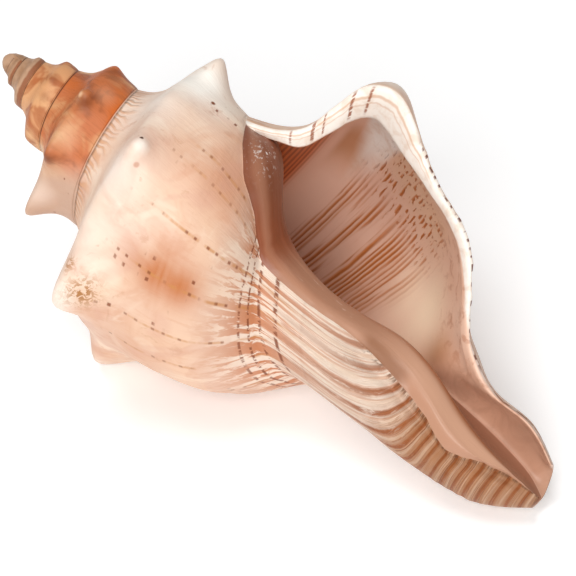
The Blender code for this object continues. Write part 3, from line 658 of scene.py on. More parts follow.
def soften_inside(skin):
    """Draws the points inside the opening towards their neighbours, where its patches meet."""
    corners = skin.corners()
    edges = np.concatenate([corners[:, [i, (i + 1) % 4]] for i in range(4)])
    edges = np.unique(np.sort(edges[edges[:, 0] != edges[:, 1]], axis=1), axis=0)
    count = len(skin.points)
    degree = np.bincount(edges.ravel(), minlength=count)[:, None]
    share = SOFTENING_SHARE * skin.marks["softness"][:, None]
    for _ in range(SOFTENING_STEPS):
        near = np.stack([
            np.bincount(edges[:, 0], skin.points[edges[:, 1], axis], count)
            + np.bincount(edges[:, 1], skin.points[edges[:, 0], axis], count)
            for axis in range(3)
        ], -1)
        skin.points = skin.points + share * (near / degree - skin.points)


def outward(skin):
    """The direction out of the skin at each point."""
    corners = skin.corners()
    a, b, c, d = (skin.points[corners[:, i]] for i in range(4))
    face_way = np.cross(c - a, d - b) + np.where(
        (corners[:, 2] == corners[:, 3])[:, None], np.cross(b - a, c - a), 0
    )
    way = np.zeros_like(skin.points)
    for i in range(4):
        np.add.at(way, corners[:, i], face_way)
    return way / np.maximum(np.linalg.norm(way, axis=1, keepdims=True), 1e-12)


def unevenness(x, y, seed):
    """Smooth noise from -1 to 1, one bump to a unit."""
    lattice = np.random.default_rng(seed).uniform(-1, 1, (64, 64))
    i, j = np.floor(x).astype(int), np.floor(y).astype(int)
    u, v = ramp(x - i), ramp(y - j)
    low = lattice[i % 64, j % 64] * (1 - u) + lattice[(i + 1) % 64, j % 64] * u
    high = lattice[i % 64, (j + 1) % 64] * (1 - u) + lattice[(i + 1) % 64, (j + 1) % 64] * u
    return low * (1 - v) + high * v


# Nubs and a dent on the knobs: growth, station, height and reach
NUBS = (
    (-0.838, 0.337, 0.0011, 0.0019), (-1.863, 0.322, 0.0013, 0.0016),
    (-0.815, 0.372, -0.0005, 0.0016),
)


def add_relief(skin):
    """Growth ridges and wear, as a height over the smooth skin."""
    marks = skin.marks
    growth, station = marks["growth"], marks["station"]
    x, y, down = skin.points.T
    radius = np.hypot(x, y)
    azimuth = LIP_AZIMUTH + 360 * growth
    line = np.where(station > SUTURE, growth_line(azimuth + 360, down), growth)
    marks["line"] = line
    marks["round"] = 2 * np.pi * radius
    marks["past"] = 360 * (growth - callus_growth(np.maximum(station, SUTURE)))
    marks["down"] = down
    marks["cord"] = np.interp(station, LINE_PAIRS, np.arange(len(LINE_PAIRS)))
    size = GROWTH**growth
    out = 1 - marks["inside"]
    # How near a knob's top each point is, whatever the knob's height
    even_knobs = [(at, 1 / GROWTH ** ((at - LIP_AZIMUTH) / 360), wide, middle)
                  for at, _, wide, middle in KNOBS]
    marks["knob"] = np.where(out > 0.5, knob_height(growth, station, even_knobs), 0.0)
    foot = out * rise(station, 0.80, 0.08) * (growth > -1)
    marks["phase"] = line * RIDGES_IN_TURN + 0.35 * unevenness(line * 9, station * 6, 5)
    ridge = np.abs(np.sin(np.pi * marks["phase"])) ** 0.7
    strength = 0.6 + 0.4 * unevenness(line * 25, station * 14, 9)
    height = RIDGE_HEIGHT * foot * strength * (ridge - 0.6)
    body = out * rise(growth, -1.2, 0.3) * (1 - foot)
    height += BODY_HEIGHT * body * unevenness(line * 42, station * 4, 3)
    for growth_at, station_at, high, reach in NUBS:
        height += high * out * spread(skin.points, outside(growth_at, station_at), reach)
    height += SKIN_HEIGHT * out * np.minimum(size, 1) * unevenness(line * 22, station * 9, 4)
    near_edge = np.where(out > 0.5, np.exp(growth / 0.012), np.exp(-marks["reach"] / 0.12))
    near_edge *= (growth > -0.2) * (marks["inner"] < 0.5) * rise(station, 0.36, 0.1)
    near_edge *= fall(station, 0.93, 0.05)
    height += EDGE_HEIGHT * near_edge * unevenness(station * 46, station * 11, 6)
    callus_edge = np.exp(-((marks["reach"] / 0.05) ** 2)) * marks["inner"]
    height += CALLUS_HEIGHT * callus_edge * unevenness(down * 500, down * 130, 7)
    # No relief at the canal's end, where the inside and the outside lie close together
    height *= fall(station, 0.955, 0.025)
    skin.points = skin.points + height[:, None] * outward(skin)


def shell_skin():
    whorl = even_stations(0, SUTURE, WHORL_ROWS, -0.36)
    base = even_stations(SUTURE, TROUGH, BASE_ROWS, -0.7)
    canal = even_stations(TROUGH, 1, CANAL_ROWS, -0.7)
    stations = np.concatenate([whorl, base[1:], canal[1:]])
    skin = Skin()
    spiral, outer_base = add_outside(skin, stations)
    ring = add_opening(skin, stations, spiral, outer_base)
    add_throat(skin, ring)
    inside_to = len(skin.faces)
    add_apex(skin, spiral)
    skin.inside_faces = range(skin.inside_from, inside_to)
    soften_inside(skin)
    smooth = skin.points.copy()
    add_relief(skin)
    return skin, smooth


def resting_turn():
    """The turn from the shell's own frame to the ground's: canal to +X, opening up and to -Y."""
    azimuth, tilt = np.radians([UNDERSIDE_AZIMUTH, REST_TILT])
    level = np.array([np.cos(azimuth), np.sin(azimuth), 0.0]) * np.cos(tilt)
    up = -(level + np.array([0.0, 0.0, np.sin(tilt)]))
    along = np.array([0.0, 0.0, 1.0]) - up * up[2]
    along = along / np.linalg.norm(along)
    return np.array([along, np.cross(up, along), up])


def sign(operation, swapped=False):
    """The method for a sign between a value and a number or another value."""

    def join(self, other):
        return self.paint.maths(operation, *((other, self) if swapped else (self, other)))

    return join


class Value:
    """A number or a colour in a material's nodes, with the usual signs between numbers."""

    __add__, __radd__ = sign("ADD"), sign("ADD", swapped=True)
    __sub__, __rsub__ = sign("SUBTRACT"), sign("SUBTRACT", swapped=True)
    __mul__, __rmul__ = sign("MULTIPLY"), sign("MULTIPLY", swapped=True)
    most = sign("MAXIMUM")

    def __init__(self, paint, socket):
        self.paint, self.socket = paint, socket

    def __abs__(self):
        return self.paint.maths("ABSOLUTE", self)

    def __round__(self):
        return self.paint.maths("ROUND", self)

    def sine(self):
        return self.paint.maths("SINE", self)

    def step(self, low, high):
        """0 at low, 1 at high, and smooth between."""
        swap = not isinstance(low, Value) and not isinstance(high, Value) and low > high
        ends = (high, low, 1, 0) if swap else (low, high, 0, 1)
        names = ("Value", "From Min", "From Max", "To Min", "To Max")
        inputs = zip(names, (self, *ends))
        return self.paint.made("MapRange", "Result", inputs, interpolation_type="SMOOTHSTEP")

    def around(self, middle, reach, soft=0.5):
        """1 near the middle, fading out at reach."""
        return abs(self - middle).step(reach, reach * (1 - soft))

    def lay(self, share, tint):
        """Lays another colour over this one."""
        self.socket = self.paint.mix(share, self, tint).socket


class Paint:
    """A material, with short ways to add the nodes of its pattern."""

    def __init__(self, name):
        self.material = bpy.data.materials.new(name)
        self.material.use_nodes = True
        self.tree = self.material.node_tree

    def put(self, socket, value):
        if isinstance(value, Value):
            self.tree.links.new(value.socket, socket)
        else:
            socket.default_value = (*value, 1.0) if socket.type == "RGBA" else value

    def made(self, kind, output, inputs=(), **settings):
        """One output of a new node, whose inputs are given by name or number."""
        node = self.tree.nodes.new("ShaderNode" + kind)
        for name, setting in settings.items():
            setattr(node, name, setting)
        for name, value in dict(inputs).items():
            self.put(node.inputs[name], value)
        return Value(self, node.outputs[output])

    def maths(self, operation, *inputs):
        return self.made("Math", 0, enumerate(inputs), operation=operation)

    def mark(self, name):
        """A mark that the mesh carries."""
        return self.made("Attribute", "Fac", attribute_name=name)

    def place(self):
        return self.made("TexCoord", "Object")

    def noise(self, where, scale, detail=2.0, rough=0.5, twist=0.0):
        names = ("Vector", "Scale", "Detail", "Roughness", "Distortion")
        return self.made("TexNoise", "Fac", zip(names, (where, scale, detail, rough, twist)))

    def grain(self, x, y, *texture):
        """Noise over two numbers, about one bump to a unit."""
        return self.noise(self.made("CombineXYZ", 0, enumerate((x, y))), 1.0, *texture)

    def near(self, spot, reach, soft):
        """1 near a spot on the object, fading out at reach."""
        inputs = enumerate((self.place(), spot))
        away = self.made("VectorMath", "Value", inputs, operation="DISTANCE")
        return away.step(reach, reach * (1 - soft))

    def mix(self, share, one, other):
        """Between two colours."""
        inputs = {0: share, 6: one, 7: other}
        return self.made("Mix", 2, inputs, data_type="RGBA", clamp_factor=True)

    def finish(self, **inputs):
        """The material, with inputs of its shader by name, a _ for each space."""
        shader = self.tree.nodes["Principled BSDF"]
        for name, value in inputs.items():
            self.put(shader.inputs[name.replace("_", " ")], value)
        return self.material

    def finish_shell(self, colour, height, rough, depth):
        """The material of one side of the shell. The depth of its bump is in metres."""
        bump = {"Strength": 0.6, "Distance": depth, "Height": height}
        normal = self.made("Bump", "Normal", bump)
        return self.finish(
            Base_Color=colour, Roughness=rough, Normal=normal, Specular_IOR_Level=SPECULAR
        )


CREAM = (0.78, 0.53, 0.37)
PINK_WHITE = (0.74, 0.50, 0.37)
PEACH = (0.60, 0.285, 0.165)
BLUSH = (0.48, 0.140, 0.028)
WHITE = (0.82, 0.69, 0.58)
GOLD = (0.74, 0.39, 0.165)
ORANGE = (0.57, 0.13, 0.020)
RUST = (0.50, 0.150, 0.040)
BROWN = (0.22, 0.060, 0.018)
DARK = (0.08, 0.022, 0.008)
# Painted shade, for the chink beside the callus edge
GROOVE_SHADE = (0.15, 0.055, 0.020)
MAUVE = (0.25, 0.085, 0.045)
DEEP_MAUVE = (0.20, 0.055, 0.018)
SALMON = (0.465, 0.240, 0.150)
INSIDE = (0.80, 0.49, 0.36)
IVORY = (0.95, 0.74, 0.53)
LIRA = (0.38, 0.105, 0.018)

HALF_WAVE, WHOLE_WAVE = 3.14159, 6.2832  # in radians
SPECULAR = 0.32

# Single growth lines: growth and strength
GROWTH_LINES = (
    (-0.731, 0.9), (-0.797, 0.9), (-0.864, 0.45), (-0.891, 0.6), (-0.965, 0.3),
    (-0.664, 0.7), (-0.612, 0.6), (-0.53, 0.6), (-0.46, 0.5),
    (-0.37, 0.6), (-0.28, 0.4), (-0.17, 0.6), (-0.08, 0.5),
)

# Single marks on the skin: growth, station, reach, softness, strength and tint
SPOTS = (
    (-1.770, 0.331, 0.0054, 0.95, 0.36, (0.88, 0.60, 0.36)),
    (-1.903, 0.414, 0.0042, 0.95, 0.26, (0.76, 0.46, 0.30)),
    (-1.630, 0.351, 0.0048, 0.95, 0.42, (0.84, 0.70, 0.60)),
    # Painted shade right of and below the nub on the spire, then a painted highlight on its tip
    (-1.852, 0.350, 0.0026, 0.9, 0.8, (0.24, 0.060, 0.016)),
    (-1.860, 0.310, 0.0010, 0.8, 0.7, (0.80, 0.50, 0.30)),
    (-0.844, 0.322, 0.0006, 0.6, 1.0, DARK),
    (-0.819, 0.358, 0.0009, 0.6, 1.0, (0.62, 0.37, 0.27)),
    (-0.972, 0.43, 0.0007, 0.6, 1.0, BROWN),
)


def spiral_dots(paint, line, station, lines):
    """Small brown dots in pairs, where spiral lines cross growth lines."""
    mark, grain = paint.mark, paint.grain
    cord = mark("cord")
    from_pair = abs(cord - round(cord))
    pair = from_pair.around(0.20, 0.085, 0.6)
    row = line * 37.0 + 1.6 * grain(station * 5, 0.0, 1)
    cross = (row - round(row)).around(0.0, 0.12, 0.6)
    chance = grain(round(row) * 0.9, cord * 0.8, 1)
    dots = pair * cross * (chance + 0.25 * mark("blush")).step(0.62, 0.68)
    on_line = pair * lines * chance.step(0.40, 0.50)
    dots = dots.most(on_line) * station.step(0.36, 0.44) * station.step(0.80, 0.77)
    dash_zone = station.step(0.735, 0.765) * station.step(0.848, 0.838)
    dash = grain(line * 130, cord * 3, 2).step(0.44, 0.52)
    return dots.most(from_pair.around(0.20, 0.075, 0.7) * dash_zone * dash)


def outside_paint(on_skin):
    """The material of the outside."""
    paint = Paint("shell_outside")
    mark, noise, grain = paint.mark, paint.noise, paint.grain
    growth, station = mark("growth"), mark("station")
    line, round_mm = mark("line"), mark("round") * 1000
    down, past = mark("down") * 1000, mark("past")
    where = paint.place()
    # Long grain that follows the growth lines, then plain patches
    streak = grain(line * 150, station * 8, 4, 0.6, 0.4)
    fine_grain = grain(line * 520, station * 16, 3, 0.6, 0.2)
    patch = noise(where, 40, 3, 0.55, 0.5)
    mottle = noise(where, 120, 3, 0.55, 0.8)
    colour = paint.mix(patch.step(0.36, 0.64), CREAM, PINK_WHITE)
    lay = colour.lay
    lay(mottle.step(0.46, 0.70) * 0.45, PEACH)
    lay(streak.step(0.50, 0.78) * 0.30, PEACH)
    pale_cloud = noise(where, 75, 3, 0.6, 1.2).step(0.50, 0.66)
    lay(pale_cloud * 0.55, (0.86, 0.70, 0.55))
    for name, tint in (("peach", PEACH), ("blush", BLUSH), ("pale", (0.93, 0.87, 0.79))):
        lay(mark(name) * (0.60 + 0.8 * patch), tint)
    stain = noise(where, 260, 4, 0.7, 0.6)
    lay(stain.step(0.60, 0.70) * 0.35, (0.52, 0.27, 0.15))
    rosy = noise(where, 52, 2, 0.5, 1.5).step(0.52, 0.62)
    lay(rosy * 0.30 * (1 - mark("pale")), (0.62, 0.33, 0.24))
    # The spire turns orange and brown, in soft blotches
    lay(mark("dusk") * 0.8, (0.52, 0.33, 0.235))
    early = mark("spire")
    blotch = noise(where, 85, 3, 0.55, 0.6)
    spire = paint.mix(blotch.step(0.44, 0.60), ORANGE, GOLD)
    spire.lay(blotch.step(0.54, 0.66) * 0.55, (0.86, 0.57, 0.33))
    spire.lay(patch.step(0.50, 0.62) * 0.5, (0.46, 0.17, 0.08))
    spire.lay(mottle.step(0.52, 0.66) * 0.65, (0.26, 0.065, 0.018))
    spire.lay(streak.step(0.50, 0.72) * 0.5, (0.36, 0.10, 0.028))
    lay(early, spire)
    brown_mottle = noise(where, 150, 3, 0.6, 0.6).step(0.48, 0.64)
    tan_whorl = paint.mix(brown_mottle * 0.8, (0.74, 0.40, 0.19), (0.34, 0.075, 0.012))
    lay(mark("middle") * 0.75, tan_whorl)
    tip_colour = paint.mix(mottle.step(0.40, 0.65), (0.50, 0.30, 0.185), (0.38, 0.20, 0.105))
    band = station.around(0.06 * grain(line * 30, 0.0) + 0.46, 0.11)
    tip_colour.lay(band * 0.9, (0.27, 0.085, 0.028))
    lay(mark("tip"), tip_colour)
    # The base is white, with orange-brown flames along the growth lines
    base = station.step(0.64, 0.80) * (1 - early)
    foot = mark("foot")
    lay(base * 0.75, WHITE)
    broad = grain(line * 46, station * 4.5, 2, 0.5, 0.4)
    flame = grain(line * 105, station * 19, 3, 0.62, 0.9)
    flame = (flame + 1.1 * (broad - 0.5)).step(0.45, 0.58)
    lay(base * flame * (1 - 0.5 * foot) * 0.9, RUST)
    # Growth ridges round the foot: pale crests and brown hollows, partly the shell's own colour and
    # partly painted highlight and painted shade over the ridges' relief; browner towards the
    # canal's end
    wave = abs((mark("phase") * HALF_WAVE).sine())
    blot = grain(line * 55, station * 70, 4, 0.7, 0.8)
    low_foot = foot * (down + 16 * blot).step(118, 134) * past.step(120, 70)
    lay(low_foot * 0.88, (0.42, 0.172, 0.062))
    hollow_brown_and_shade = (wave + 1.1 * (blot - 0.5)).step(0.66, 0.22) * blot.step(0.31, 0.48)
    hollow_brown_and_shade = hollow_brown_and_shade * (0.5 + 0.5 * down.step(98, 120))
    lay(foot * hollow_brown_and_shade * 0.94, (0.33, 0.088, 0.017))
    stripe = grain(line * 330, station * 9, 3, 0.6, 0.5).step(0.50, 0.66)
    lay(low_foot * stripe * 0.75, (0.20, 0.053, 0.013))
    crest_pale_and_highlight = wave.step(0.80, 1.0) * blot.step(0.58, 0.46)
    lay(foot * crest_pale_and_highlight * 0.45, (0.72, 0.50, 0.35))
    # Painted shade: dark in the chink between the callus edge and its groove
    edge = foot * past.step(7, 2) * blot.step(0.47, 0.56) * down.step(101, 108)
    lay(edge * 0.7, GROOVE_SHADE)
    # Single growth lines, from the shoulder down to the foot
    lines = None
    wander = 1.1 * (grain(station * 7, line * 20, 2) - 0.5)
    for at, strength in GROWTH_LINES:
        drawn = ((line - at) * round_mm).around(wander, 0.55, 0.85) * strength
        lines = drawn if lines is None else lines.most(drawn)
    broken = grain(line * 15, station * 22, 3).step(0.38, 0.60)
    low = station.step(0.40, 0.55) * (1 - foot) * growth.step(-0.99, -0.93)
    lay(lines * broken * low * 0.8, (0.52, 0.22, 0.060))
    dots = spiral_dots(paint, line, station, lines) * (1 - early)
    lay(dots * 0.9, (0.22, 0.055, 0.016))
    # Wrinkles under the suture
    ripple = 24 * grain(line * 22, station * 9, 2)
    wave = (line * 400 + ripple).sine()
    length = grain(line * 50, 0.0, 2)
    wrinkle = wave.step(-0.7, 0.9) * station.step(0.19 * length, 0.010)
    wrinkle = wrinkle * growth.step(-1.3, -1.0)
    lay(wrinkle * 0.62, (0.58, 0.27, 0.115))
    # Suture lines
    upper = station.step(0.012, 0.002) * growth.step(-0.30, -0.45)
    lower = station.around(SUTURE, 0.016, 0.7) * growth.step(-0.97, -1.03)
    seam = upper.most(lower)
    lay(seam * (0.55 + 0.4 * early), DARK)
    # Worn knob tops, brown stains and single spots; beside the nub on the spire a brown mark and a
    # spot are painted shade, and another spot is a painted highlight on its tip
    rub = noise(where, 620, 4, 0.75, 1.0).step(0.47, 0.55)
    lay(mark("worn") * rub * 0.85, (0.42, 0.185, 0.06))
    lay(mark("brown") * 0.9, (0.22, 0.062, 0.02))
    for growth_at, station_at, reach, soft, strength, tint in SPOTS:
        spot = on_skin(growth_at, station_at)
        lay(paint.near(spot, reach, soft) * strength, tint)
    height = 0.40 * streak + 0.22 * fine_grain + 0.8 * wrinkle - 0.7 * seam
    height = height + 0.5 * foot * fine_grain.step(0.40, 0.6) + 0.5 * mottle
    return paint.finish_shell(colour, height, 0.36 + 0.22 * streak, 0.0004)


def inside_paint():
    """The material of the rim, the opening and the columella."""
    paint = Paint("shell_inside")
    mark, noise, grain = paint.mark, paint.noise, paint.grain
    station, reach = mark("lip_station"), mark("reach")
    inner, cord = mark("inner"), mark("lip_cord")
    down = mark("down") * 1000
    where = paint.place()
    cloud = noise(where, 60, 3, 0.5, 0.4)
    small = noise(where, 330, 4, 0.6, 0.4)
    # Behind the rim: pale peach, with painted shade under the rim's overhang and round the lip's
    # knob, and ivory in the lower part
    colour = paint.mix(reach.step(0.25, 0.80), (0.84, 0.56, 0.42), INSIDE)
    lay = colour.lay
    lay(cloud.step(0.45, 0.70) * 0.4, (0.62, 0.31, 0.20))
    upper = station.step(0.56, 0.44) * reach.step(0.70, 0.95)
    lay(upper * 0.8, (0.80, 0.49, 0.365))
    lay(mark("lirae") * reach.around(0.62, 0.3, 0.9) * 0.7, (0.80, 0.53, 0.34))
    # Painted shade in the corner where the opening's floor drops into the canal
    lay(mark("corner") * 0.85, (0.42, 0.15, 0.040))
    # Painted shade under the rim: round the lip's knob and under the overhanging roof
    under_rim_shade = reach.around(0.84, 0.18, 0.9) * station.around(0.33, 0.08)
    lay(under_rim_shade * 0.75, (0.50, 0.20, 0.075))
    roof_shade = (reach + 0.12 * cloud).around(0.38, 0.22, 0.9) * station.step(0.36, 0.27)
    lay(roof_shade * 0.85, (0.42, 0.125, 0.032))
    lay(mark("ivory"), IVORY)
    speckle = small.step(0.50, 0.66) * reach.step(0.9, 0.5)
    lay(speckle * 0.5 * station.step(0.5, 0.7), (0.44, 0.16, 0.07))
    # Orange-brown lines that run back into the throat, broken into dashes near the rim
    turn = mark("lira")
    width = grain(turn * 0.55, reach * 1.2, 2)
    bend = 0.9 * grain(turn * 0.12, reach * 3.5, 2)
    lira = ((turn + bend) * WHOLE_WAVE).sine().step(-0.1, 0.9)
    soft = width.step(0.38, 0.60)
    row = grain(turn, reach * 15, 2)
    dash = row.step(0.50, 0.58) * reach.around(0.76, 0.26, 0.6)
    drawn = (reach.step(0.84, 1.02) * soft).most(dash)
    wide = ((turn + bend) * WHOLE_WAVE + 0.5).sine().step(-1.0, 0.4)
    stroke = wide * drawn * mark("lirae")
    lira = lira * drawn * mark("lirae")
    glow = mark("lirae") * reach.step(0.86, 1.1) * soft
    lay(glow * 0.32, (0.58, 0.29, 0.17))
    lay(stroke * 0.82, (0.56, 0.165, 0.036))
    lay(lira * 0.70, LIRA)
    fan = mark("fan") * (turn * 4.4 + 4 * width).sine().step(-0.7, 0.7)
    lay(mark("fan") * 0.9, (0.62, 0.14, 0.015))
    lay(fan * 0.7, (0.26, 0.040, 0.005))
    # The canal's side of the lip is darker
    canal = station.step(0.84, 0.94) * reach.step(0.02, 0.16)
    lay(canal * 0.85, (0.62, 0.335, 0.215))
    murky = noise(where, 130, 4, 0.65, 1.4).step(0.44, 0.62)
    lay(canal * murky * 0.28, (0.40, 0.19, 0.115))
    canal_low = canal * station.step(0.945, 0.97)
    lay(canal_low * 0.6, (0.44, 0.230, 0.150))
    canal_edge = station.step(0.82, 0.87) * reach.step(0.04, 0.0)
    lay(canal_edge * 0.8, (0.30, 0.12, 0.06))
    # Inner lip: mauve at the top, salmon down the columella
    waxy = grain(reach * 7, down * 0.035, 4, 0.6, 0.8)
    callus = paint.mix(down.step(68, 88), MAUVE, SALMON)
    callus.lay(down.around(75, 8, 0.9) * 0.8, (0.26, 0.064, 0.023))
    callus.lay(waxy.step(0.42, 0.68) * 0.6 * down.step(100, 70), DEEP_MAUVE)
    callus.lay(reach.around(0.12, 0.09, 0.9) * down.step(100, 86) * 0.5, (0.44, 0.20, 0.115))
    callus.lay(reach.around(0.27, 0.22, 0.9) * down.step(104, 118) * 0.7, (0.56, 0.31, 0.20))
    callus.lay(reach.around(0.50, 0.16, 0.9) * down.step(92, 112) * 0.8, (0.36, 0.10, 0.022))
    callus.lay(reach.step(0.60, 0.9) * down.step(108, 124) * 0.75, (0.27, 0.105, 0.055))
    callus.lay(reach.step(0.22, 0.08) * down.around(110, 8) * 0.7, (0.24, 0.095, 0.040))
    lay(inner, callus)
    lay(mark("top") * 0.9, MAUVE)
    # Painted highlights on the callus: glinting specks near its top and a glossy streak lower down
    glint_highlights = mark("glint_highlights") * noise(where, 950, 3, 0.7).step(0.56, 0.66)
    lay(glint_highlights * 0.8, (0.86, 0.78, 0.72))
    callus_highlight = grain(reach * 30, down * 0.22, 3, 0.6).step(0.62, 0.72)
    callus_highlight = callus_highlight * inner * reach.around(0.30, 0.16) * down.around(98, 16)
    lay(callus_highlight * 0.7, (0.86, 0.72, 0.62))
    # The rim: white, with two tan growth lines and short brown bars across it
    wander = 0.05 * (grain(station * 24, 0.0, 2) - 0.5)
    away = reach + wander - mark("rim_edge")
    rim = (1 - away.step(-0.012, mark("rim_soft"))) * (1 - inner)
    white = paint.mix(small.step(0.42, 0.7), (0.90, 0.82, 0.74), (0.80, 0.66, 0.55))
    lay(rim, white)
    tan = (reach + wander).around(0.075, 0.016, 0.8)
    tan = tan.most((reach + wander * 1.5).around(0.120, 0.010, 0.9) * 0.7)
    lay(tan * rim * station.step(0.56, 0.46) * 0.6, (0.62, 0.34, 0.18))
    from_bar = abs(cord - round(cord))
    ladder = grain(cord * 3, reach * 55, 2)
    bar = (from_bar - mark("bar_wide") * (0.6 + 0.9 * ladder)).step(0.02, -0.06)
    bar = bar * ladder.step(0.34, 0.50) * reach.around(0.10, 0.11, 0.4)
    lay(bar * rim * mark("bars") * 0.9, (0.30, 0.085, 0.030))
    rim_spot = reach.step(0.030, 0.006) * mark("rim_spots") * (1 - inner)
    rim_spot = rim_spot * grain(station * 60, 0.0, 1).step(0.50, 0.56)
    lay(rim_spot, (0.16, 0.05, 0.03))
    height = 0.3 * small - 0.5 * lira + 0.9 * waxy * inner
    return paint.finish_shell(colour, height, 0.24 + 0.14 * rim + 0.14 * small, 0.0003)


# Round patches of a tint on the outside: growth, station, reach in metres and strength
OUTER_PATCHES = {
    "peach": (
        (-0.885, 0.60, 0.009, 0.9), (-0.87, 0.48, 0.008, 0.55), (-0.93, 0.60, 0.006, 0.5),
        (-0.60, 0.50, 0.010, 0.5), (-0.45, 0.60, 0.012, 0.5), (-0.30, 0.45, 0.012, 0.4),
    ),
    "blush": (
        (-0.735, 0.55, 0.0060, 0.85), (-0.735, 0.61, 0.0055, 0.8), (-0.735, 0.49, 0.0045, 0.6),
        (-0.50, 0.50, 0.006, 0.5), (-0.22, 0.56, 0.007, 0.6),
    ),
    "pale": (
        (-0.838, 0.337, 0.0020, 0.8), (-0.985, 0.33, 0.0085, 1.2), (-0.975, 0.42, 0.006, 0.7),
        (-0.80, 0.25, 0.009, 0.6), (-0.72, 0.28, 0.009, 0.5), (-0.93, 0.16, 0.011, 0.65),
    ),
    "worn": ((-0.672, 0.39, 0.0036, 1.3), (-0.688, 0.306, 0.0015, 1.2)),
    "brown": (
        # The first and the third are painted shade right of and below the nub on the spire
        (-1.852, 0.352, 0.0022, 0.6), (-1.719, 0.337, 0.0016, 1.0), (-1.855, 0.345, 0.0010, 0.9),
        (-1.840, 0.40, 0.0009, 0.7), (-1.98, 0.33, 0.0016, 0.6), (-2.87, 0.36, 0.0013, 0.6),
        (-2.80, 0.40, 0.0012, 0.5), (-1.45, 0.38, 0.0012, 0.6),
    ),
}
# And behind the lip: station, share of the way back, reach and strength
LIP_PATCHES = {
    "ivory": ((0.77, 0.9, 0.010, 0.95), (0.72, 1.0, 0.009, 0.7)),
    # The corner patches are painted shade where the opening's floor drops into the canal
    "corner": ((0.87, 0.80, 0.0055, 1.0), (0.905, 0.9, 0.004, 0.7)),
}
# Along the lip, stations and what holds at them: how far back the rim's white goes and how softly
# it ends, and the strength of the brown bars and of the spots on the edge
LIP_TABLES = {
    "rim_edge": (
        (0, 0.27, 0.32, 0.37, 0.42, 0.46, 0.6, 0.75, 0.80, 0.84, 1.0),
        (0.205, 0.22, 0.55, 0.74, 0.70, 0.24, 0.21, 0.17, 0.10, -0.03, -0.03),
    ),
    "rim_soft": (
        (0, 0.24, 0.31, 0.38, 0.44, 0.48, 0.75, 0.85, 1.0),
        (0.015, 0.02, 0.30, 0.30, 0.28, 0.03, 0.02, 0.10, 0.05),
    ),
    "bars": ((0, 0.05, 0.06, 0.31, 0.32), (0, 0, 1, 1, 0)),
    "rim_spots": ((0.44, 0.47, 0.88, 0.9), (0, 1, 1, 0)),
}
# Stations of the brown bars across the rim, and half of each one's width
LIP_BARS = (0.0, 0.087, 0.142, 0.168, 0.241, 0.279, 0.36)
BAR_WIDTHS = (0.002, 0.0035, 0.0055, 0.003, 0.0055, 0.004, 0.002)
LIRA_GAP = 0.00135  # between the brown lines inside the lip
UNPAINTED = ("inside", "softness", "knob")  # marks that no material reads


def patches(points, surface, spots):
    """The greatest of several round patches, each at a place on a surface."""
    found = np.zeros(len(points))
    for one, other, reach, strength in spots:
        middle = surface(np.array(one), np.array(other))
        found = np.maximum(found, strength * spread(points, middle, reach))
    return found


def colour_marks(skin, smooth):
    """Marks that say where each colour lies."""
    marks = skin.marks
    growth, station, reach = marks["growth"], marks["station"], marks["reach"]
    inside, inner = marks["inside"], marks["inner"]
    out, lip = inside < 0.5, inside * (1 - inner)
    for name, spots in OUTER_PATCHES.items():
        marks[name] = out * patches(smooth, outside, spots)
    for name, spots in LIP_PATCHES.items():
        marks[name] = lip * patches(smooth, lip_wall, spots)
    for name, table in LIP_TABLES.items():
        marks[name] = np.interp(station, *table)
    # The later knobs have pale tops, all but the middle one
    others = 1 - spread(smooth, outside(-0.84, 0.34), 0.009)
    tops = 0.55 * rise(marks["knob"], 0.45, 0.5) * (growth > -1.40) * others
    marks["pale"] = np.maximum(marks["pale"], out * tops)
    marks["spire"] = out * fall(growth + 0.22 * (station - 0.3), -1.72, 0.08)
    marks["dusk"] = out * fall(growth, -1.30, 0.12) * (1 - marks["spire"])
    marks["tip"] = out * fall(growth, -3.12, 0.12)
    marks["middle"] = out * fall(growth, -2.55, 0.2) * rise(growth, -3.2, 0.2)
    marks["foot"] = out * rise(station, 0.80, 0.07) * (growth > -1.01)
    marks["lip_station"] = np.where(inner > 0.5, SUTURE, station)
    marks["lip_cord"] = np.interp(station, LIP_BARS, np.arange(len(LIP_BARS)))
    even = np.linspace(0, 1, OUTLINE_POINTS)
    marks["lira"] = np.interp(station, even, way_along(section(0.0, even))) / LIRA_GAP
    marks["lirae"] = lip * rise(station, 0.36, 0.06) * fall(station, 0.62, 0.10)
    marks["fan"] = lip * rise(station, 0.03, 0.05) * fall(station, 0.19, 0.05)
    marks["fan"] *= rise(reach, 0.6, 0.2) * fall(reach, 1.6, 0.6)
    marks["top"] = inside * fall(station, 0.02, 0.06) * rise(reach, 0.3, 0.2)
    # Painted highlight: glinting specks on the callus
    marks["glint_highlights"] = inside * spread(smooth, inner_side(0.62, 0.2), 0.004)
    gap = np.interp(station, LIP_BARS, np.gradient(LIP_BARS))
    marks["bar_wide"] = np.interp(station, LIP_BARS, BAR_WIDTHS) / gap


def add_object(name, data):
    """A new object in the scene."""
    made = bpy.data.objects.new(name, data)
    bpy.context.collection.objects.link(made)
    return made


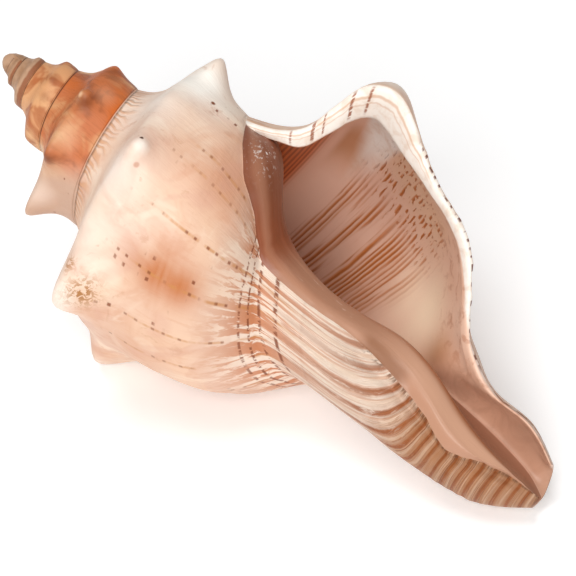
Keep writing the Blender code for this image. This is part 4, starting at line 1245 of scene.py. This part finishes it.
def build_shell():
    """The shell, and the way from its own frame to the ground."""
    skin, smooth = shell_skin()
    colour_marks(skin, smooth)
    turned = smooth @ resting_turn().T
    low, high = turned.min(axis=0), turned.max(axis=0)
    middle = np.array([(low[0] + high[0]) / 2, (low[1] + high[1]) / 2, low[2]])

    def ground(points):
        return np.asarray(points) @ resting_turn().T - middle

    def on_skin(growth, station):
        nearest = np.linalg.norm(smooth - outside(growth, station), axis=1).argmin()
        return ground(skin.points[nearest])

    mesh = bpy.data.meshes.new("conch")
    mesh.from_pydata(ground(skin.points).tolist(), [], skin.faces)
    for name, values in skin.marks.items():
        if name not in UNPAINTED:
            layer = mesh.attributes.new(name, "FLOAT", "POINT")
            layer.data.foreach_set("value", values.astype(np.float32))
    mesh.materials.append(outside_paint(on_skin))
    mesh.materials.append(inside_paint())
    slots = np.zeros(len(skin.faces), np.int32)
    slots[skin.inside_faces.start : skin.inside_faces.stop] = 1
    mesh.polygons.foreach_set("material_index", slots)
    mesh.shade_smooth()
    shell = add_object("conch", mesh)
    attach(shell, "root")
    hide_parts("shell")
    return ground


FLOOR_SIDE = 3.0  # half of it
FLOOR_DROP = 0.0002


def build_floor():
    mesh = bpy.data.meshes.new("floor")
    corners = [(x * FLOOR_SIDE, y * FLOOR_SIDE, 0) for x, y in ((-1, -1), (1, -1), (1, 1), (-1, 1))]
    mesh.from_pydata(corners, [], [(0, 1, 2, 3)])
    mesh.materials.append(Paint("floor").finish(
        Base_Color=(0.93, 0.93, 0.93), Roughness=0.9,
        Emission_Color=(1.0, 1.0, 1.0), Emission_Strength=0.205,
    ))
    floor = add_object("floor", mesh)
    floor.location.z = -FLOOR_DROP
    floor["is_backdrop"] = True


# The camera, in the shell's own frame: how right, front and down the axis look in the picture
SIGHT = np.array([
    (0.6401096995, 0.7682835236, 0.0), (-0.1465954073, 0.1221386887, 0.9816271834),
    (0.7541679914, -0.6283490814, 0.1908089954),
]).T
ROLL = -0.0080877780
DISTANCE = 0.75
OFF_CENTRE = np.array([-0.0052170419, 0.0024931808, 0.0])
AIM = np.array([0.0, 0.0, 0.07675])
PIXELS, PIXELS_PER_METRE = 576, 4680.7247
SENSOR = 36.0

# Soft lights: where each is as the camera sees it (right, up and towards it), size and power
LIGHTS = {"key": ((-0.26, 0.76, 0.75), 0.45, 3.4), "front": ((-0.15, -0.08, 1.0), 0.5, 5.1)}
LIGHT_TARGET, LIGHT_DISTANCE = np.array([0.0, 0.0, 0.03]), 0.9
WORLD_LIGHT = 0.35


def add_camera(ground):
    """The camera of the photo. Gives back its turn."""
    cosine, sine = np.cos(ROLL), np.sin(ROLL)
    to_picture = np.array([(cosine, -sine, 0), (sine, cosine, 0), (0, 0, 1)]) @ SIGHT
    from_picture = np.linalg.inv(to_picture)
    eye = ground(from_picture @ (np.array([0, 0, DISTANCE]) - OFF_CENTRE) + AIM)
    turn = resting_turn() @ from_picture
    data = bpy.data.cameras.new("camera")
    data.sensor_width = SENSOR
    data.lens = SENSOR * DISTANCE / (PIXELS / PIXELS_PER_METRE)
    data.clip_start, data.clip_end = 0.01, 20.0
    camera = add_object("camera", data)
    camera.matrix_world = Matrix.LocRotScale(eye, Matrix(turn.tolist()).to_quaternion(), None)
    bpy.context.scene.camera = camera
    return turn


def light_scene(turn):
    scene = bpy.context.scene
    scene.world = bpy.data.worlds.new("studio")
    scene.world.use_nodes = True
    background = scene.world.node_tree.nodes["Background"]
    background.inputs["Color"].default_value = (1.0, 1.0, 1.0, 1.0)
    background.inputs["Strength"].default_value = WORLD_LIGHT
    for name, (towards, size, power) in LIGHTS.items():
        way = turn @ (np.array(towards, float) / np.linalg.norm(towards))
        data = bpy.data.lights.new(name, "AREA")
        data.size, data.energy = size, power
        spot = Vector(LIGHT_TARGET + way * LIGHT_DISTANCE)
        rotation = Vector(way).to_track_quat("Z", "Y")
        add_object(name, data).matrix_world = Matrix.LocRotScale(spot, rotation, None)
    scene.view_settings.view_transform = "Standard"
    scene.view_settings.look = "None"


ground = build_shell()
build_floor()
light_scene(add_camera(ground))
boxes = [[list(map(float, corner)) for corner in box] for box in (cad_box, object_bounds())]
